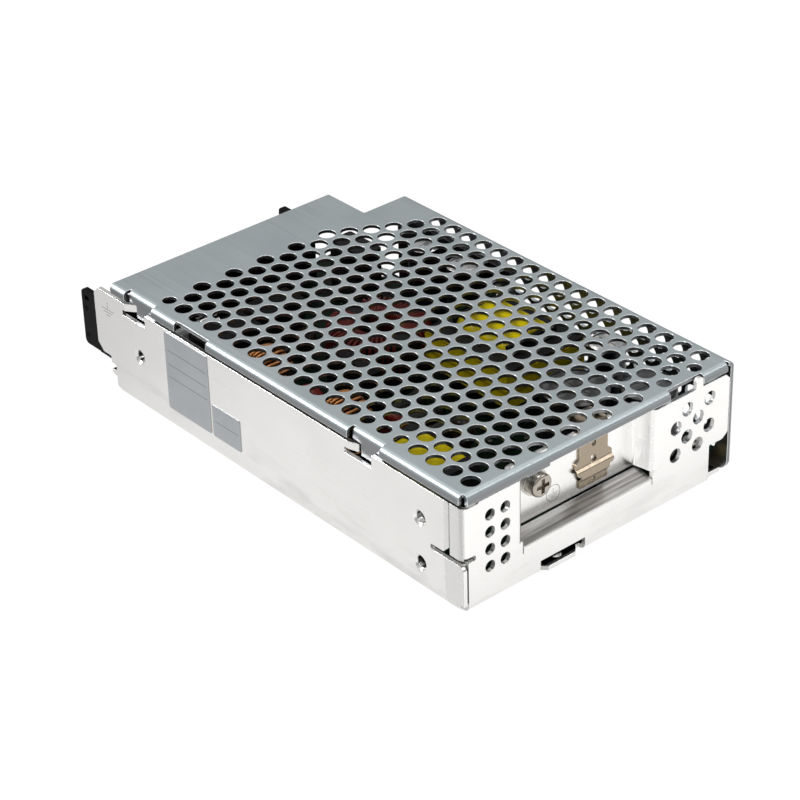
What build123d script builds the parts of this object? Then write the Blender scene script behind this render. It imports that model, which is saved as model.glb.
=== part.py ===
from build123d import *
import os
from math import floor, sqrt

# Mesh case switching power supply: a folded chassis and a perforated cover around a populated circuit board.
# Frame: origin under the middle of the case, X along its length towards the end wall with the pocket,
# Y towards the far long side, Z up. Places along the case are distances from that end wall's outer face.

# Overall size
LENGTH = 159.0
WIDTH = 93.0
HEIGHT = 34.0

# Sheet metal
CHASSIS_T = 1.2
COVER_T = 1.0
CHASSIS_BEND = 0.8
COVER_BEND = 0.6
FOLD_LAP = 0.25
SHEET_GAP = 0.3
HOOK_GAP = 0.2

# Perforation of the cover
PITCH = 6.3
HOLE_D = 5.0
SMALL_HOLE_D = 4.0
FIRST_HOLE = 4.4
FIRST_ROW = 6.6
PLAIN_STRIP = 16.0
WALL_FIRST_HOLE = 3.6
WALL_FIRST_ROW = 4.4
WALL_ROWS = 5

# Cover
COVER_SETBACK = 16.6
CORNER_NOTCH_LENGTH = 15.8
CORNER_NOTCH_WIDTH = 16.2
FLANGE_DEPTH = 2.7
END_FLANGE_DEPTH = 2.5
END_FLANGE_STEPS = (0.4, 0.8)
NOTCH_R = 0.5
COVER_FOOT = 0.5
COVER_FOOT_R = 3.5
CORNER_GAP = 0.3
LUG_SPAN = (2.0, 13.1)
LUG_DEPTH = 6.8
LUG_R = 2.0
LUG_CUT = 0.8
LUG_CUT_R = 0.4
LUG_CUT_DEPTH = 2.5
LONG_CUT_SETBACKS = (45.3, 59.1)
LONG_CUT_DEPTH = 1.3
TIP_CUT_START = 23.5
TIP_CUT_GAP = 0.3

# Chassis walls
NEAR_WALL_DROP = 3.6
END_WALL_DROP = 3.2
SEAM = 5.0
SEAM_GAP = 0.3
CORNER_SLOT = (13.9, 15.4)
CORNER_SLOT_NEAR = 12.0
CORNER_SLOT_END = 4.1
CORNER_RELIEF = 2.2
CORNER_R = 1.8
CORNER_SEAM_GAP = 0.5
FLANGE_FOOT = 15.5
END_CHAMFER = 1.5
CUTAWAY_WIDTH = 8.0
CUTAWAY_TOP = 11.8
CUTAWAY_DEPTH = 3.4
CUTAWAY_SHARE = 0.6
CUTAWAY_DIP = 0.2
CUTAWAY_RISE = 2.4
CUTAWAY_RADII = (0.4, 2.0)
SLOT_END_R = 0.7
SLOT_TURN_R = 0.9
SLOT_STEP = 0.7
HOOK_TIP = (32.9, 35.4)
HOOK_TIP_TOP_R = 1.0

# Terminal ear of the near wall, as distances from the terminal end and heights
EAR_SETBACK = 8.4
EAR_TOP_CHAMFER = 2.1
EAR_FOOT = 10.5
EAR_FOOT_CHAMFER = 2.4
EAR_R = 0.4
NOTCH_CORNER_R = 0.2
NOTCH_MOUTH_R = 0.8
WALL_SETBACK = 14.2
BOARD_NOTCH = (6.5, 8.5)
NOTCH_SETBACK = 16.3
TAB_FOOT = 5.0
TAB_RADII = (0.5, 0.3, 1.0)
FLOOR_SETBACK = 17.8

# Hook tabs of the near wall
HOOK_NOTCH_DEPTH = 3.8
HOOK_TAB_HEIGHT = 2.2
HOOK_TAB_GAP = 0.4
HOOK_REACH = 4.6
HOOK_LENGTH = 10.4
HOOK_SETBACK = 21.6
HOOK_INSET = 43.8
HOOK_LEANS = (2.6, 1.2)
HOOK_TAPER = 0.3
HOOK_BEND_R = 0.8
HOOK_TIP_R = 0.4

# Threaded side holes: place from the nearer end, and height
SIDE_HOLE_SETBACK = 28.3
SIDE_HOLE_Z = 16.2
SIDE_PAIR_INSET = 15.8
SIDE_PAIR_Z = (7.6, 20.8)
M4_BORE = 3.3
M4_MOUTH = 4.6
M4_MOUTH_DEPTH = 0.6
COLLAR_D = 5.4
COLLAR_DEPTH = 1.0
COLLAR_ROOT = 0.2

# Threaded floor holes
FLOOR_HOLE_BORE = 2.5
FLOOR_HOLE_INSET = 17.0
FLOOR_HOLE_SETBACK = 25.0
FLOOR_HOLE_EDGE = 12.0

# End vents
SMALL_VENT_D = 3.2
LARGE_VENT_D = 4.0
SMALL_VENT_EDGE = 8.7
SMALL_VENT_STEP = 5.0
SMALL_VENT_ROWS = 4
LARGE_VENT_EDGE = 8.4
LARGE_VENT_STEP = 4.05
LARGE_VENT_ROWS = 4
LARGE_VENT_DROP = 7.7
SMALL_VENT_DROP = 8.35

# Pocket pressed into the end wall
POCKET_START = 19.5
POCKET_WIDTH = 44.9
POCKET_DEPTH = 6.0
POCKET_SHELF = 12.2
SHELF_DROP = 1.4
SHELF_EDGE_R = 0.5
POCKET_SLOPE = 1.0
PANEL_FOOT = 12.6

# Notch and tongue at the foot of the end wall
TONGUE_NOTCH_START = 25.5
TONGUE_NOTCH_WIDTH = 15.2
TONGUE_NOTCH_TOP = 4.0
TONGUE_START = 1.2
TONGUE_WIDTH = 12.2
TONGUE_CHAMFER = 1.5
TONGUE_ROOT = 4.4
TONGUE_HOLE_D = 3.2
TONGUE_HOLE_INSET = 2.4

# Cover screws and their tabs on the far side
TAB_WIDTH = 12.0
TAB_TOP = 13.0
TAB_INSET = 28.0
TAB_SETBACK = 43.0
COVER_SCREW_Z = 7.8
COVER_SCREW_D = 2.9
COVER_SCREW_HEAD_D = 5.2
SCREW_CLEARANCE = 0.1
DRIVER_SPAN = 3.0
DRIVER_WIDTH = 0.7
DRIVER_DEPTH = 0.5
COVER_SCREW_LENGTH = 2.5

# Circuit board, film and standoffs
FILM_T = 0.4
FILM_GAP = 0.5
FILM_TURN_UP = 3.2
FILM_BEND_R = 0.8
STANDOFF_D = 6.0
STANDOFF_LENGTH = 5.4
STANDOFF_BORE = 2.6
STANDOFF_FLOOR = 0.6
BOARD_T = 1.6
BOARD_GAP = 1.6
BOARD_FAR_GAP = 0.8
BOARD_SETBACK = 7.2
BOARD_HOLE_D = 3.2
BOARD_SCREW_HEAD_D = 5.4
BOARD_SCREW_HEAD = 1.8
BOARD_SCREW_LENGTH = 6.0
BOARD_SCREW_RECESS = (3.0, 0.7, 1.0)
STANDOFF_INSET = 7.0
STANDOFF_SETBACK = 28.5
STANDOFF_EDGE = 5.2
STANDOFF_FAR_EDGE = 4.5

# Terminal block
POLES = 7
POLE_PITCH = 10.0
BLOCK_END_T = 1.4
BARRIER_T = 1.5
BLOCK_GAP = 0.1
BLOCK_DEPTH = 14.8
BLOCK_TOP = 26.0
BLOCK_NOSE_FOOT = 8.4
BLOCK_SEAT = 15.6
BLOCK_BACK_T = 2.4
BARRIER_TOP = 21.6
BLOCK_BACK_TOP = 24.6
CONTACT_T = 1.0
CONTACT_GAP = 0.2
CONTACT_LEG = 1.2
CONTACT_WIDTH = 6.0
TERMINAL_SCREW_D = 3.9
TERMINAL_HEAD_D = 6.6
TERMINAL_HEAD = 2.6
TERMINAL_SCREW_LENGTH = 5.4
CLAMP_T = 1.2
CLAMP_SIDE = 7.6
TERMINAL_SCREW_REACH = 7.2
TERMINAL_RECESS = (4.2, 1.0, 1.4)
TERMINAL_EDGE_SHARE = 0.4
TERMINAL_WELL = 1.0
CLAMP_R = 0.8
CONTACT_BACKSET = 1.5
CONTACT_BEND_R = 0.8
CONTACT_INNER_R = 0.3
BLOCK_NOSE_R = 1.5
BLOCK_TOP_R = 1.8
BLOCK_SLOT_REACH = 2.5
BLOCK_SLOT_WIDTH = 2.0
BLOCK_SLOT_Z = (22.8, 24.1)
BLOCK_RINGS = ((2.1, 19.9), (1.8, 11.5))
BLOCK_RING_DEPTH = 0.4
BLOCK_RING_D = (1.5, 0.8)

# Earth screw in the pocket
EARTH_Y_INSET = 9.0
EARTH_Z = 23.5
EARTH_HEAD_D = 6.5
EARTH_HEAD = 2.0
EARTH_SCREW_D = 3.4
EARTH_LENGTH = 6.0
EARTH_SPRING_D = 6.2
EARTH_SPRING_T = 0.9
EARTH_FLAT_D = 7.6
EARTH_FLAT_T = 0.7
WASHER_BORE = 3.6
SPRING_SPLIT = 0.6
EARTH_RECESS = (4.2, 1.2, 1.3)
HEAD_EDGE_SHARE = 0.45

# Spring clip and the transistor it holds
CLIP_T = 0.6
CLIP_GAP = 0.1
CLIP_WIDTH = 9.6
CLIP_EAR_WIDTH = 12.5
CLIP_INSET = 24.3
CLIP_FOOT = 14.3
CLIP_EARS = (18.5, 22.0)
CLIP_BULGE = 0.9
CLIP_BULGE_Z = (16.4, 20.6)
CLIP_TOP_GAP = 0.5
CLIP_WINDOW = 2.0
CLIP_WINDOW_Z = 21.6
CLIP_HOLE_D = 1.6
CLIP_HOLES_Z = (15.2, 25.9)
CLIP_INNER_LEG = 10.3
CLIP_BEND_R = 0.6
CLIP_TOP_R = 0.9
CLIP_EAR_R = 0.8
CLIP_EAR_SLOPE = 0.8
CLIP_WAIST_R = 0.5
PAD_T = 0.4
PAD_MARGIN = 1.5
PAD_RISE = 0.6
PAD_LIFT = 0.2
TRANSISTOR_WIDTH = 15.6
TRANSISTOR_HEIGHT = 16.0
TRANSISTOR_T = 4.6
TRANSISTOR_DROP = 1.2
TRANSISTOR_CHAMFER = 0.8
LEAD_T = 0.7
LEAD_WIDTH = 1.2
LEAD_PITCH = 5.0

# Labels on the near wall
LABEL_T = 0.12
LARGE_LABEL_SETBACKS = (40.7, 59.5)
SMALL_LABEL_SETBACKS = (60.3, 72.3)
LABEL_FOOT = 6.0
LARGE_LABEL_DROP = 0.8
SMALL_LABEL_TOP = 15.7
LABEL_R = 0.6

# Room for parts on the board
HEADROOM = 2.6

# Coils
TRANSFORMER_AT = (60.0, 22.5)
TRANSFORMER_LENGTH = 32.0
TRANSFORMER_WIDTH = 27.0
TRANSFORMER_CORE_HEIGHT = 12.0
TRANSFORMER_LEG = 5.0
TAPE_T = 0.5
BOBBIN_FOOT = 2.4
BOBBIN_FLANGE = 1.0
BOBBIN_DROP = 0.5
LEG_WINDOW = 0.5
POST_DROP = 1.0
WOUND_SETBACK = 0.3
WOUND_INSET = 0.5
WOUND_R = 3.0
BELT_DROP = 1.0
BELT_R = 0.6
COIL_AT = (32.0, -29.0)
COIL_LENGTH = 24.0
COIL_WIDTH = 13.0
COIL_HEIGHT = 17.0
COIL_CAP = 3.2
COIL_CHAMFER = 1.0
COIL_SIDE_INSET = 0.4
COIL_LIFT = 1.0
COIL_R = 2.0
RING_AT = (92.5, 6.0)
RING_D = 27.0
RING_BORE = 13.0
RING_HEIGHT = 11.0
RING_WIRE = 1.2
RING_GAP = 34.0
RING_FOOT = 1.6
CHOKE_AT = ((94.5, -30.5), (62.5, -30.5))
CHOKE_D = 15.5
CHOKE_BORE = 7.4
CHOKE_T = 7.0
CHOKE_WIRE = 1.1
CHOKE_GAP = 50.0
CHOKE_BASE = 2.0
WINDING_GAP = 0.1
CORE_EDGE_R = 0.8

# Cans: place, diameter and shortfall under the headroom
LARGE_CAN_AT = (22.8, 12.5)
LARGE_CAN_D = 18.0
SECOND_CAN_D = 15.0
SECOND_CAN_INSET = 12.5
SECOND_CAN_STEP = 2.5
SECOND_CAN_DROP = 1.5
OUTPUT_CANS = ((107.0, 9.0), (91.0, 9.0), (34.0, 10.0))
OUTPUT_CAN_GAP = 1.2
OUTPUT_CAN_DROP = 0.4
CAN_CRIMP = 0.4
CAN_SLEEVE_LIP = 0.8
CAN_FOOT = (0.3, 0.5)
CAN_GROOVE_Z = (1.6, 2.2, 2.8)
CAN_SHOULDER = 0.6
CAN_TOP_STEP = 0.3
CAN_SCORE = 0.3
CAN_SCORE_SHARE = 0.6

# Box and disc parts: place and size
NEAR_FILM_CAP_Y = -27.5
NEAR_FILM_CAP = (10.0, 18.0, 15.0)
FAR_FILM_CAP_AT = (121.0, -8.0)
FAR_FILM_CAP = (9.0, 16.0, 14.0)
SIDE_FILM_CAP_STEP = 10.0
SIDE_FILM_CAP = (14.0, 8.0, 17.0)
DISC_CAPS = ((109.0, -15.5), (109.0, -6.0), (45.0, -6.0))
DISC_D = 8.0
DISC_T = 3.4
DISC_LIFT = 2.0
DISC_LEAD = 0.7
DISC_EDGE_SHARE = 0.4
DISC_LEG_SHARE = 0.3
BOX_R = 0.8
VARISTOR_AT = (79.2, -28.5)
VARISTOR_D = 12.0
VARISTOR_T = 4.4
THERMISTOR_AT = (58.5, -18.0)
THERMISTOR_D = 9.5
THERMISTOR_T = 4.2
FUSE_SETBACK = 24.0
FUSE_STEP = 12.6
FUSE_D = 5.2
FUSE_LENGTH = 20.0
FUSE_CAP = 5.2
FUSE_WAIST = 0.3
FUSE_CLIP_T = 0.6
FUSE_CLIP_WIDTH = 4.0
FUSE_CLIP_GRIP = 0.3
FUSE_LIFT = 3.2
BRIDGE_AT = (79.0, -14.0)
BRIDGE_SIZE = (18.0, 4.0, 14.0)
BRIDGE_LIFT = 3.0
BRIDGE_CHAMFER = 0.9
BRIDGE_LEADS = 4
BRIDGE_LEAD = (1.0, 0.8)
SINK_START = 78.0
SINK_SETBACK = 34.0
SINK_T = 1.8
SINK_EDGE_GAP = 0.3
SINK_DROP = 0.4
DIODE_SIZE = (6.0, 4.0, 14.0)
DIODE_LIFT = 4.0
DIODE_TAB = 0.3
DIODE_MOULDED = 0.6
DIODE_HOLE = 0.8
DIODE_LEAD_PITCH = 1.8
DIODES_AT = (81.0, 99.0)
SINK_SCREW_D = 2.9
SINK_SCREW_HEAD_D = 5.0
SINK_SCREW_HEAD = 1.6
SINK_SCREW_SLOT = 0.7
DAUGHTER_AT = 79.0
DAUGHTER_GAP = 0.7
DAUGHTER_SIZE = (1.2, 18.0, 17.0)
CHIP_SIZE = (5.0, 4.0, 1.5)
CHIP_STEPS = ((-5.5, 4.5), (1.5, 4.5), (-2.0, 11.5))
CHIP_CHAMFER = 0.3
OPTO_AT = ((111.0, 8.0), (111.0, 18.0))
OPTO_SIZE = (6.4, 4.6, 3.5)
RESISTORS_AT = ((70.0, -5.0), (62.0, -5.0), (54.0, -5.0))
RESISTOR_D = 4.4
RESISTOR_LENGTH = 12.0
RESISTOR_LIFT = 0.4
RESISTOR_R = 0.9
RESISTOR_WAIST = 0.25
RESISTOR_WAIST_SHARE = 0.6
RESISTOR_LEG = 1.6
RESISTOR_ROOT = 0.6

# Output adjuster and indicator light, as places from the terminal end and the far side
ADJUSTER_SETBACK = 22.0
ADJUSTER_EDGE = 8.5
ADJUSTER_SIDE = 6.6
ADJUSTER_HEIGHT = 6.0
ROTOR_D = 4.4
ROTOR_DEPTH = 2.4
ROTOR_PROUD = 0.6
ROTOR_GAP = 0.15
ROTOR_SLOT = 0.8
ROTOR_SLOT_DEPTH = 1.2
ROTOR_CROSS_SHARE = 0.6
LIGHT_EDGE = 16.0
LIGHT_D = 3.0
LIGHT_HEIGHT = 6.4
LIGHT_RIM_D = 3.8
LIGHT_RIM = 1.0

# Derived datums
END_X = LENGTH / 2
NEAR_Y = -WIDTH / 2
FAR_Y = WIDTH / 2
NEAR_IN = NEAR_Y + CHASSIS_T
NEAR_WALL_TOP = HEIGHT - NEAR_WALL_DROP
END_WALL_TOP = HEIGHT - END_WALL_DROP
FAR_IN = FAR_Y - COVER_T
FLOOR_FAR = FAR_IN - HOOK_GAP
COVER_IN = HEIGHT - COVER_T
CHASSIS_OUT_R = CHASSIS_BEND + CHASSIS_T
COVER_OUT_R = COVER_BEND + COVER_T
COVER_LENGTH = LENGTH - COVER_SETBACK
BOARD_FOOT = CHASSIS_T + STANDOFF_LENGTH
BOARD_TOP = BOARD_FOOT + BOARD_T
ROOM_TOP = COVER_IN - HEADROOM
ROW_STEP = PITCH * sqrt(3) / 2
POCKET_NEAR = NEAR_Y + POCKET_START
POCKET_FAR = POCKET_NEAR + POCKET_WIDTH
PANEL_OUT = POCKET_DEPTH
PANEL_IN = POCKET_DEPTH + CHASSIS_T
HOOK_STARTS = (LENGTH - HOOK_SETBACK, HOOK_INSET)
TAB_INSETS = (TAB_INSET, LENGTH - TAB_SETBACK)
TRANSISTOR_FOOT = END_WALL_TOP - TRANSISTOR_DROP - TRANSISTOR_HEIGHT
BOARD_FAR = FLOOR_FAR - CHASSIS_T - BOARD_FAR_GAP
SINK_FACE = BOARD_FAR - SINK_EDGE_GAP - SINK_T
OVERCUT = 1.0


def along(distance):
    """X of a point at this distance from the outer face of the pocket end wall."""
    return END_X - distance


def slab(d0, d1, y0, y1, z0, z1):
    """Box between two distances from the end wall, two Y values and two heights."""
    middle = Pos(along((d0 + d1) / 2), (y0 + y1) / 2, (z0 + z1) / 2)
    return middle * Box(abs(d1 - d0), abs(y1 - y0), abs(z1 - z0))


def outline_face(points, radii):
    """Flat face inside a closed outline whose corners have these radii."""
    return make_face(FilletPolyline(*points, radius=radii, close=True))


def cross_prism(points, radii, d0, d1):
    """Outline of (Y, height) points carried along the case from distance d0 to d1."""
    face = Plane.YZ.offset(along(d1)) * outline_face(points, radii)
    return extrude(face, d1 - d0)


def side_prism(points, radii, y0, y1):
    """Outline of (distance, height) points carried across the case from y0 to y1."""
    placed = [(along(d), z) for d, z in points]
    face = Plane.XZ.offset(-y1) * outline_face(placed, radii)
    return extrude(face, y1 - y0)


def plan_prism(points, radii, z0, z1):
    """Outline of (distance, Y) points carried up from z0 to z1."""
    placed = [(along(d), y) for d, y in points]
    face = Plane.XY.offset(z0) * outline_face(placed, radii)
    return extrude(face, z1 - z0)


def pin_x(d0, d1, y, z, diameter):
    """Round bar along the case between two distances."""
    return Pos(along((d0 + d1) / 2), y, z) * Rot(0, 90, 0) * Cylinder(diameter / 2, abs(d1 - d0))


def pin_y(d, y0, y1, z, diameter):
    """Round bar across the case between two Y values."""
    return Pos(along(d), (y0 + y1) / 2, z) * Rot(90, 0, 0) * Cylinder(diameter / 2, abs(y1 - y0))


def pin_z(d, y, z0, z1, diameter):
    """Upright round bar between two heights."""
    return Pos(along(d), y, (z0 + z1) / 2) * Cylinder(diameter / 2, abs(z1 - z0))


def bend_x(face_y, foot, flat_y, top, thickness, inner_r, d0, d1):
    """Sheet that runs up a long side and turns over into the flat at its top, carried along the case."""
    inward = 1 if flat_y > face_y else -1
    points = [
        (face_y, foot),
        (face_y, top),
        (flat_y, top),
        (flat_y, top - thickness),
        (face_y + inward * thickness, top - thickness),
        (face_y + inward * thickness, foot),
    ]
    return cross_prism(points, [0, inner_r + thickness, 0, 0, inner_r, 0], d0, d1)


# Chassis


def near_side_outline():
    """Outline of floor and near wall seen from the near side, with the ear at the terminal end."""
    ear = LENGTH - EAR_SETBACK
    wall = LENGTH - WALL_SETBACK
    notch = LENGTH - NOTCH_SETBACK
    floor_end = LENGTH - FLOOR_SETBACK
    points = [
        (-OVERCUT, -OVERCUT),
        (floor_end, -OVERCUT),
        (floor_end, CHASSIS_T),
        (notch, CHASSIS_T + CHASSIS_BEND),
        (notch, TAB_FOOT),
        (wall, TAB_FOOT),
        (wall, BOARD_NOTCH[0]),
        (notch, BOARD_NOTCH[0]),
        (notch, BOARD_NOTCH[1]),
        (wall, BOARD_NOTCH[1]),
        (wall, EAR_FOOT),
        (ear - EAR_FOOT_CHAMFER, EAR_FOOT),
        (ear, EAR_FOOT + EAR_FOOT_CHAMFER),
        (ear, NEAR_WALL_TOP - EAR_TOP_CHAMFER),
        (ear - EAR_TOP_CHAMFER, NEAR_WALL_TOP),
        (-OVERCUT, NEAR_WALL_TOP),
    ]
    notch_radii = [NOTCH_CORNER_R, NOTCH_MOUTH_R, NOTCH_MOUTH_R, NOTCH_CORNER_R]
    radii = [0, 0, 0, *TAB_RADII, *notch_radii] + 5 * [EAR_R] + [0]
    return side_prism(points, radii, NEAR_Y - OVERCUT, FLOOR_FAR + OVERCUT)


def folded_long_side():
    """Floor and near wall, one fold along the near edge, cut to their outline."""
    points = [
        (NEAR_Y, NEAR_WALL_TOP),
        (NEAR_Y, 0),
        (FLOOR_FAR, 0),
        (FLOOR_FAR, CHASSIS_T),
        (NEAR_IN, CHASSIS_T),
        (NEAR_IN, NEAR_WALL_TOP),
    ]
    radii = [0, CHASSIS_OUT_R, 0, 0, CHASSIS_BEND, 0]
    folded = cross_prism(points, radii, CORNER_RELIEF, LENGTH - EAR_SETBACK)
    sheet = folded & near_side_outline()
    lower = [
        (CORNER_RELIEF, CORNER_RELIEF),
        (0, CORNER_RELIEF),
        (0, CORNER_SLOT[0]),
        (CORNER_RELIEF, CORNER_SLOT[0]),
    ]
    sheet += side_prism(lower, [0, 0, CORNER_R, 0], NEAR_Y, NEAR_IN)
    seam_end = SEAM + SEAM_GAP / 2
    sheet -= slab(-OVERCUT, seam_end, NEAR_Y - OVERCUT, NEAR_IN + OVERCUT, CORNER_SLOT[0], HEIGHT)
    slot_points = [
        (-OVERCUT, CORNER_SLOT[0]),
        (CORNER_SLOT_NEAR, CORNER_SLOT[0]),
        (CORNER_SLOT_NEAR, CORNER_SLOT[1]),
        (SEAM + CORNER_RELIEF, CORNER_SLOT[1]),
        (SEAM, CORNER_SLOT[1] + CORNER_RELIEF),
        (-OVERCUT, CORNER_SLOT[1] + CORNER_RELIEF),
    ]
    slot_radii = [0, SLOT_END_R, SLOT_END_R, SLOT_TURN_R, 0, 0]
    sheet -= side_prism(slot_points, slot_radii, NEAR_Y - OVERCUT, NEAR_IN + OVERCUT)
    return sheet


def end_wall_sheet():
    """Floor edge and pocket end wall as one fold, with the upright return at the near corner."""
    start = NEAR_IN + CORNER_SEAM_GAP
    points = [
        (0, END_WALL_TOP),
        (0, 0),
        (SEAM, 0),
        (SEAM, CHASSIS_T),
        (CHASSIS_T, CHASSIS_T),
        (CHASSIS_T, END_WALL_TOP),
    ]
    wall = side_prism(points, [0, CHASSIS_OUT_R, 0, 0, CHASSIS_BEND, 0], start, FLOOR_FAR)
    wall -= slab(-OVERCUT, SEAM, start - OVERCUT, NEAR_Y + SEAM, FLANGE_FOOT, HEIGHT)
    corner = [
        (SEAM - SEAM_GAP / 2, NEAR_Y),
        (0, NEAR_Y),
        (0, NEAR_Y + SEAM),
        (CHASSIS_T, NEAR_Y + SEAM),
        (CHASSIS_T, NEAR_IN),
        (SEAM - SEAM_GAP / 2, NEAR_IN),
    ]
    corner_radii = [0, CHASSIS_OUT_R, 0, 0, CHASSIS_BEND, 0]
    wall += plan_prism(corner, corner_radii, FLANGE_FOOT, NEAR_WALL_TOP)
    lower = CORNER_SLOT[0] + SLOT_STEP
    slot_end = NEAR_Y + CORNER_SLOT_END
    slot = [
        (start - OVERCUT, lower),
        (slot_end, lower),
        (slot_end, lower + CORNER_SLOT[1] - CORNER_SLOT[0]),
        (start - OVERCUT, lower + CORNER_SLOT[1] - CORNER_SLOT[0]),
    ]
    slot_radii = [0, SLOT_END_R, SLOT_END_R, 0]
    wall -= cross_prism(slot, slot_radii, -OVERCUT, CHASSIS_T + CHASSIS_BEND + OVERCUT)
    return wall


def end_wall_pocket(wall):
    """Press the pocket into the end wall: joggled sides, back panel and the shelf folded in under it."""
    near, far = POCKET_NEAR, POCKET_FAR
    lean, run = POCKET_SLOPE, CHASSIS_OUT_R + CHASSIS_T
    section = [
        (0, near - run),
        (0, near),
        (PANEL_OUT, near + lean),
        (PANEL_OUT, far - lean),
        (0, far),
        (0, far + run),
        (CHASSIS_T, far + run),
        (CHASSIS_T, far + CHASSIS_T),
        (PANEL_IN, far - lean + CHASSIS_T),
        (PANEL_IN, near + lean - CHASSIS_T),
        (CHASSIS_T, near - CHASSIS_T),
        (CHASSIS_T, near - run),
    ]
    out_r, in_r = CHASSIS_OUT_R, CHASSIS_BEND
    radii = [0, out_r, in_r, in_r, out_r, 0, 0, in_r, out_r, out_r, in_r, 0]
    wall -= slab(-OVERCUT, SEAM, near - run, far + run, PANEL_FOOT, HEIGHT)
    wall += plan_prism(section, radii, PANEL_FOOT, END_WALL_TOP)
    fold_foot = POCKET_SHELF - CHASSIS_OUT_R - CHASSIS_T
    wall -= slab(-OVERCUT, SEAM, near, far, fold_foot, PANEL_FOOT)
    front = POCKET_SHELF - SHELF_DROP
    shelf = [
        (0, fold_foot),
        (0, front),
        (PANEL_OUT - SHEET_GAP, POCKET_SHELF),
        (PANEL_OUT - SHEET_GAP, POCKET_SHELF - CHASSIS_T),
        (CHASSIS_T, front - CHASSIS_T),
        (CHASSIS_T, fold_foot),
    ]
    shelf_radii = [0, SHELF_EDGE_R, 0, 0, 0, 0]
    wall += side_prism(shelf, shelf_radii, near + SHEET_GAP, far - SHEET_GAP)
    return wall


def end_wall_cuts(wall):
    """Vents, the cutaway at the far foot, the far top chamfer and the notch with its tongue."""
    deep = PANEL_IN + OVERCUT
    for column in range(2):
        for row in range(SMALL_VENT_ROWS):
            y = NEAR_Y + SMALL_VENT_EDGE + column * SMALL_VENT_STEP
            z = HEIGHT - SMALL_VENT_DROP - row * SMALL_VENT_STEP
            wall -= pin_x(-OVERCUT, deep, y, z, SMALL_VENT_D)
    for column in range(4):
        for row in range(LARGE_VENT_ROWS):
            if (row + column) % 2 == 0:
                y = FAR_Y - LARGE_VENT_EDGE - column * LARGE_VENT_STEP
                z = HEIGHT - LARGE_VENT_DROP - row * LARGE_VENT_STEP
                wall -= pin_x(-OVERCUT, deep, y, z, LARGE_VENT_D)
    edge = FAR_Y - CUTAWAY_WIDTH
    cutaway = [
        (edge, -OVERCUT),
        (edge, CUTAWAY_TOP),
        (edge + CUTAWAY_WIDTH * CUTAWAY_SHARE, CUTAWAY_TOP - CUTAWAY_DIP),
        (FAR_Y, CUTAWAY_TOP + CUTAWAY_RISE),
        (FAR_Y + OVERCUT, CUTAWAY_TOP + CUTAWAY_RISE),
        (FAR_Y + OVERCUT, -OVERCUT),
    ]
    wall -= cross_prism(cutaway, [0, *CUTAWAY_RADII, 0, 0, 0], -OVERCUT, CHASSIS_OUT_R)
    wall -= slab(-OVERCUT, CUTAWAY_DEPTH, edge, FAR_Y, -OVERCUT, CHASSIS_T + OVERCUT)
    chamfer = [
        (FLOOR_FAR - END_CHAMFER, END_WALL_TOP),
        (FLOOR_FAR + OVERCUT, END_WALL_TOP - END_CHAMFER - OVERCUT),
        (FLOOR_FAR + OVERCUT, END_WALL_TOP + OVERCUT),
        (FLOOR_FAR - END_CHAMFER, END_WALL_TOP + OVERCUT),
    ]
    wall -= cross_prism(chamfer, [0, 0, 0, 0], -OVERCUT, CHASSIS_OUT_R)
    notch = NEAR_Y + TONGUE_NOTCH_START
    wall -= slab(-OVERCUT, TONGUE_ROOT, notch, notch + TONGUE_NOTCH_WIDTH, -OVERCUT, TONGUE_NOTCH_TOP)
    wall += tongue_plate(CHASSIS_T, 0)
    return wall


def tongue_plate(thickness, foot):
    """Small tongue that reaches into the notch at the foot of the end wall."""
    near = NEAR_Y + TONGUE_NOTCH_START + TONGUE_START
    far = near + TONGUE_WIDTH
    cut = TONGUE_CHAMFER
    points = [
        (TONGUE_ROOT, near),
        (cut, near),
        (0, near + cut),
        (0, far - cut),
        (cut, far),
        (TONGUE_ROOT, far),
    ]
    plate = plan_prism(points, [0] * 6, foot, foot + thickness)
    middle = (near + far) / 2
    return plate - pin_z(TONGUE_HOLE_INSET, middle, foot - OVERCUT, foot + thickness + OVERCUT, TONGUE_HOLE_D)


def hook_tab(start, lean):
    """Tab left standing in a notch of the near wall's top edge and leant inward to catch the cover's lug."""
    notch_foot = NEAR_WALL_TOP - HOOK_NOTCH_DEPTH
    notch = slab(start - HOOK_LENGTH, start, NEAR_Y - OVERCUT, NEAR_IN + OVERCUT, notch_foot, HEIGHT)
    root = start + OVERCUT
    tip = start - HOOK_REACH
    bend = start - CHASSIS_T
    points = [
        (root, NEAR_Y),
        (bend, NEAR_Y),
        (tip, NEAR_Y + lean - HOOK_TAPER),
        (tip, NEAR_IN + lean - 2 * HOOK_TAPER),
        (bend + HOOK_TAPER, NEAR_IN),
        (root, NEAR_IN),
    ]
    radii = [0, HOOK_BEND_R, HOOK_TIP_R, HOOK_TIP_R, HOOK_BEND_R, 0]
    tab = plan_prism(points, radii, NEAR_WALL_TOP - HOOK_TAB_HEIGHT, NEAR_WALL_TOP)
    return notch, tab


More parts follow.
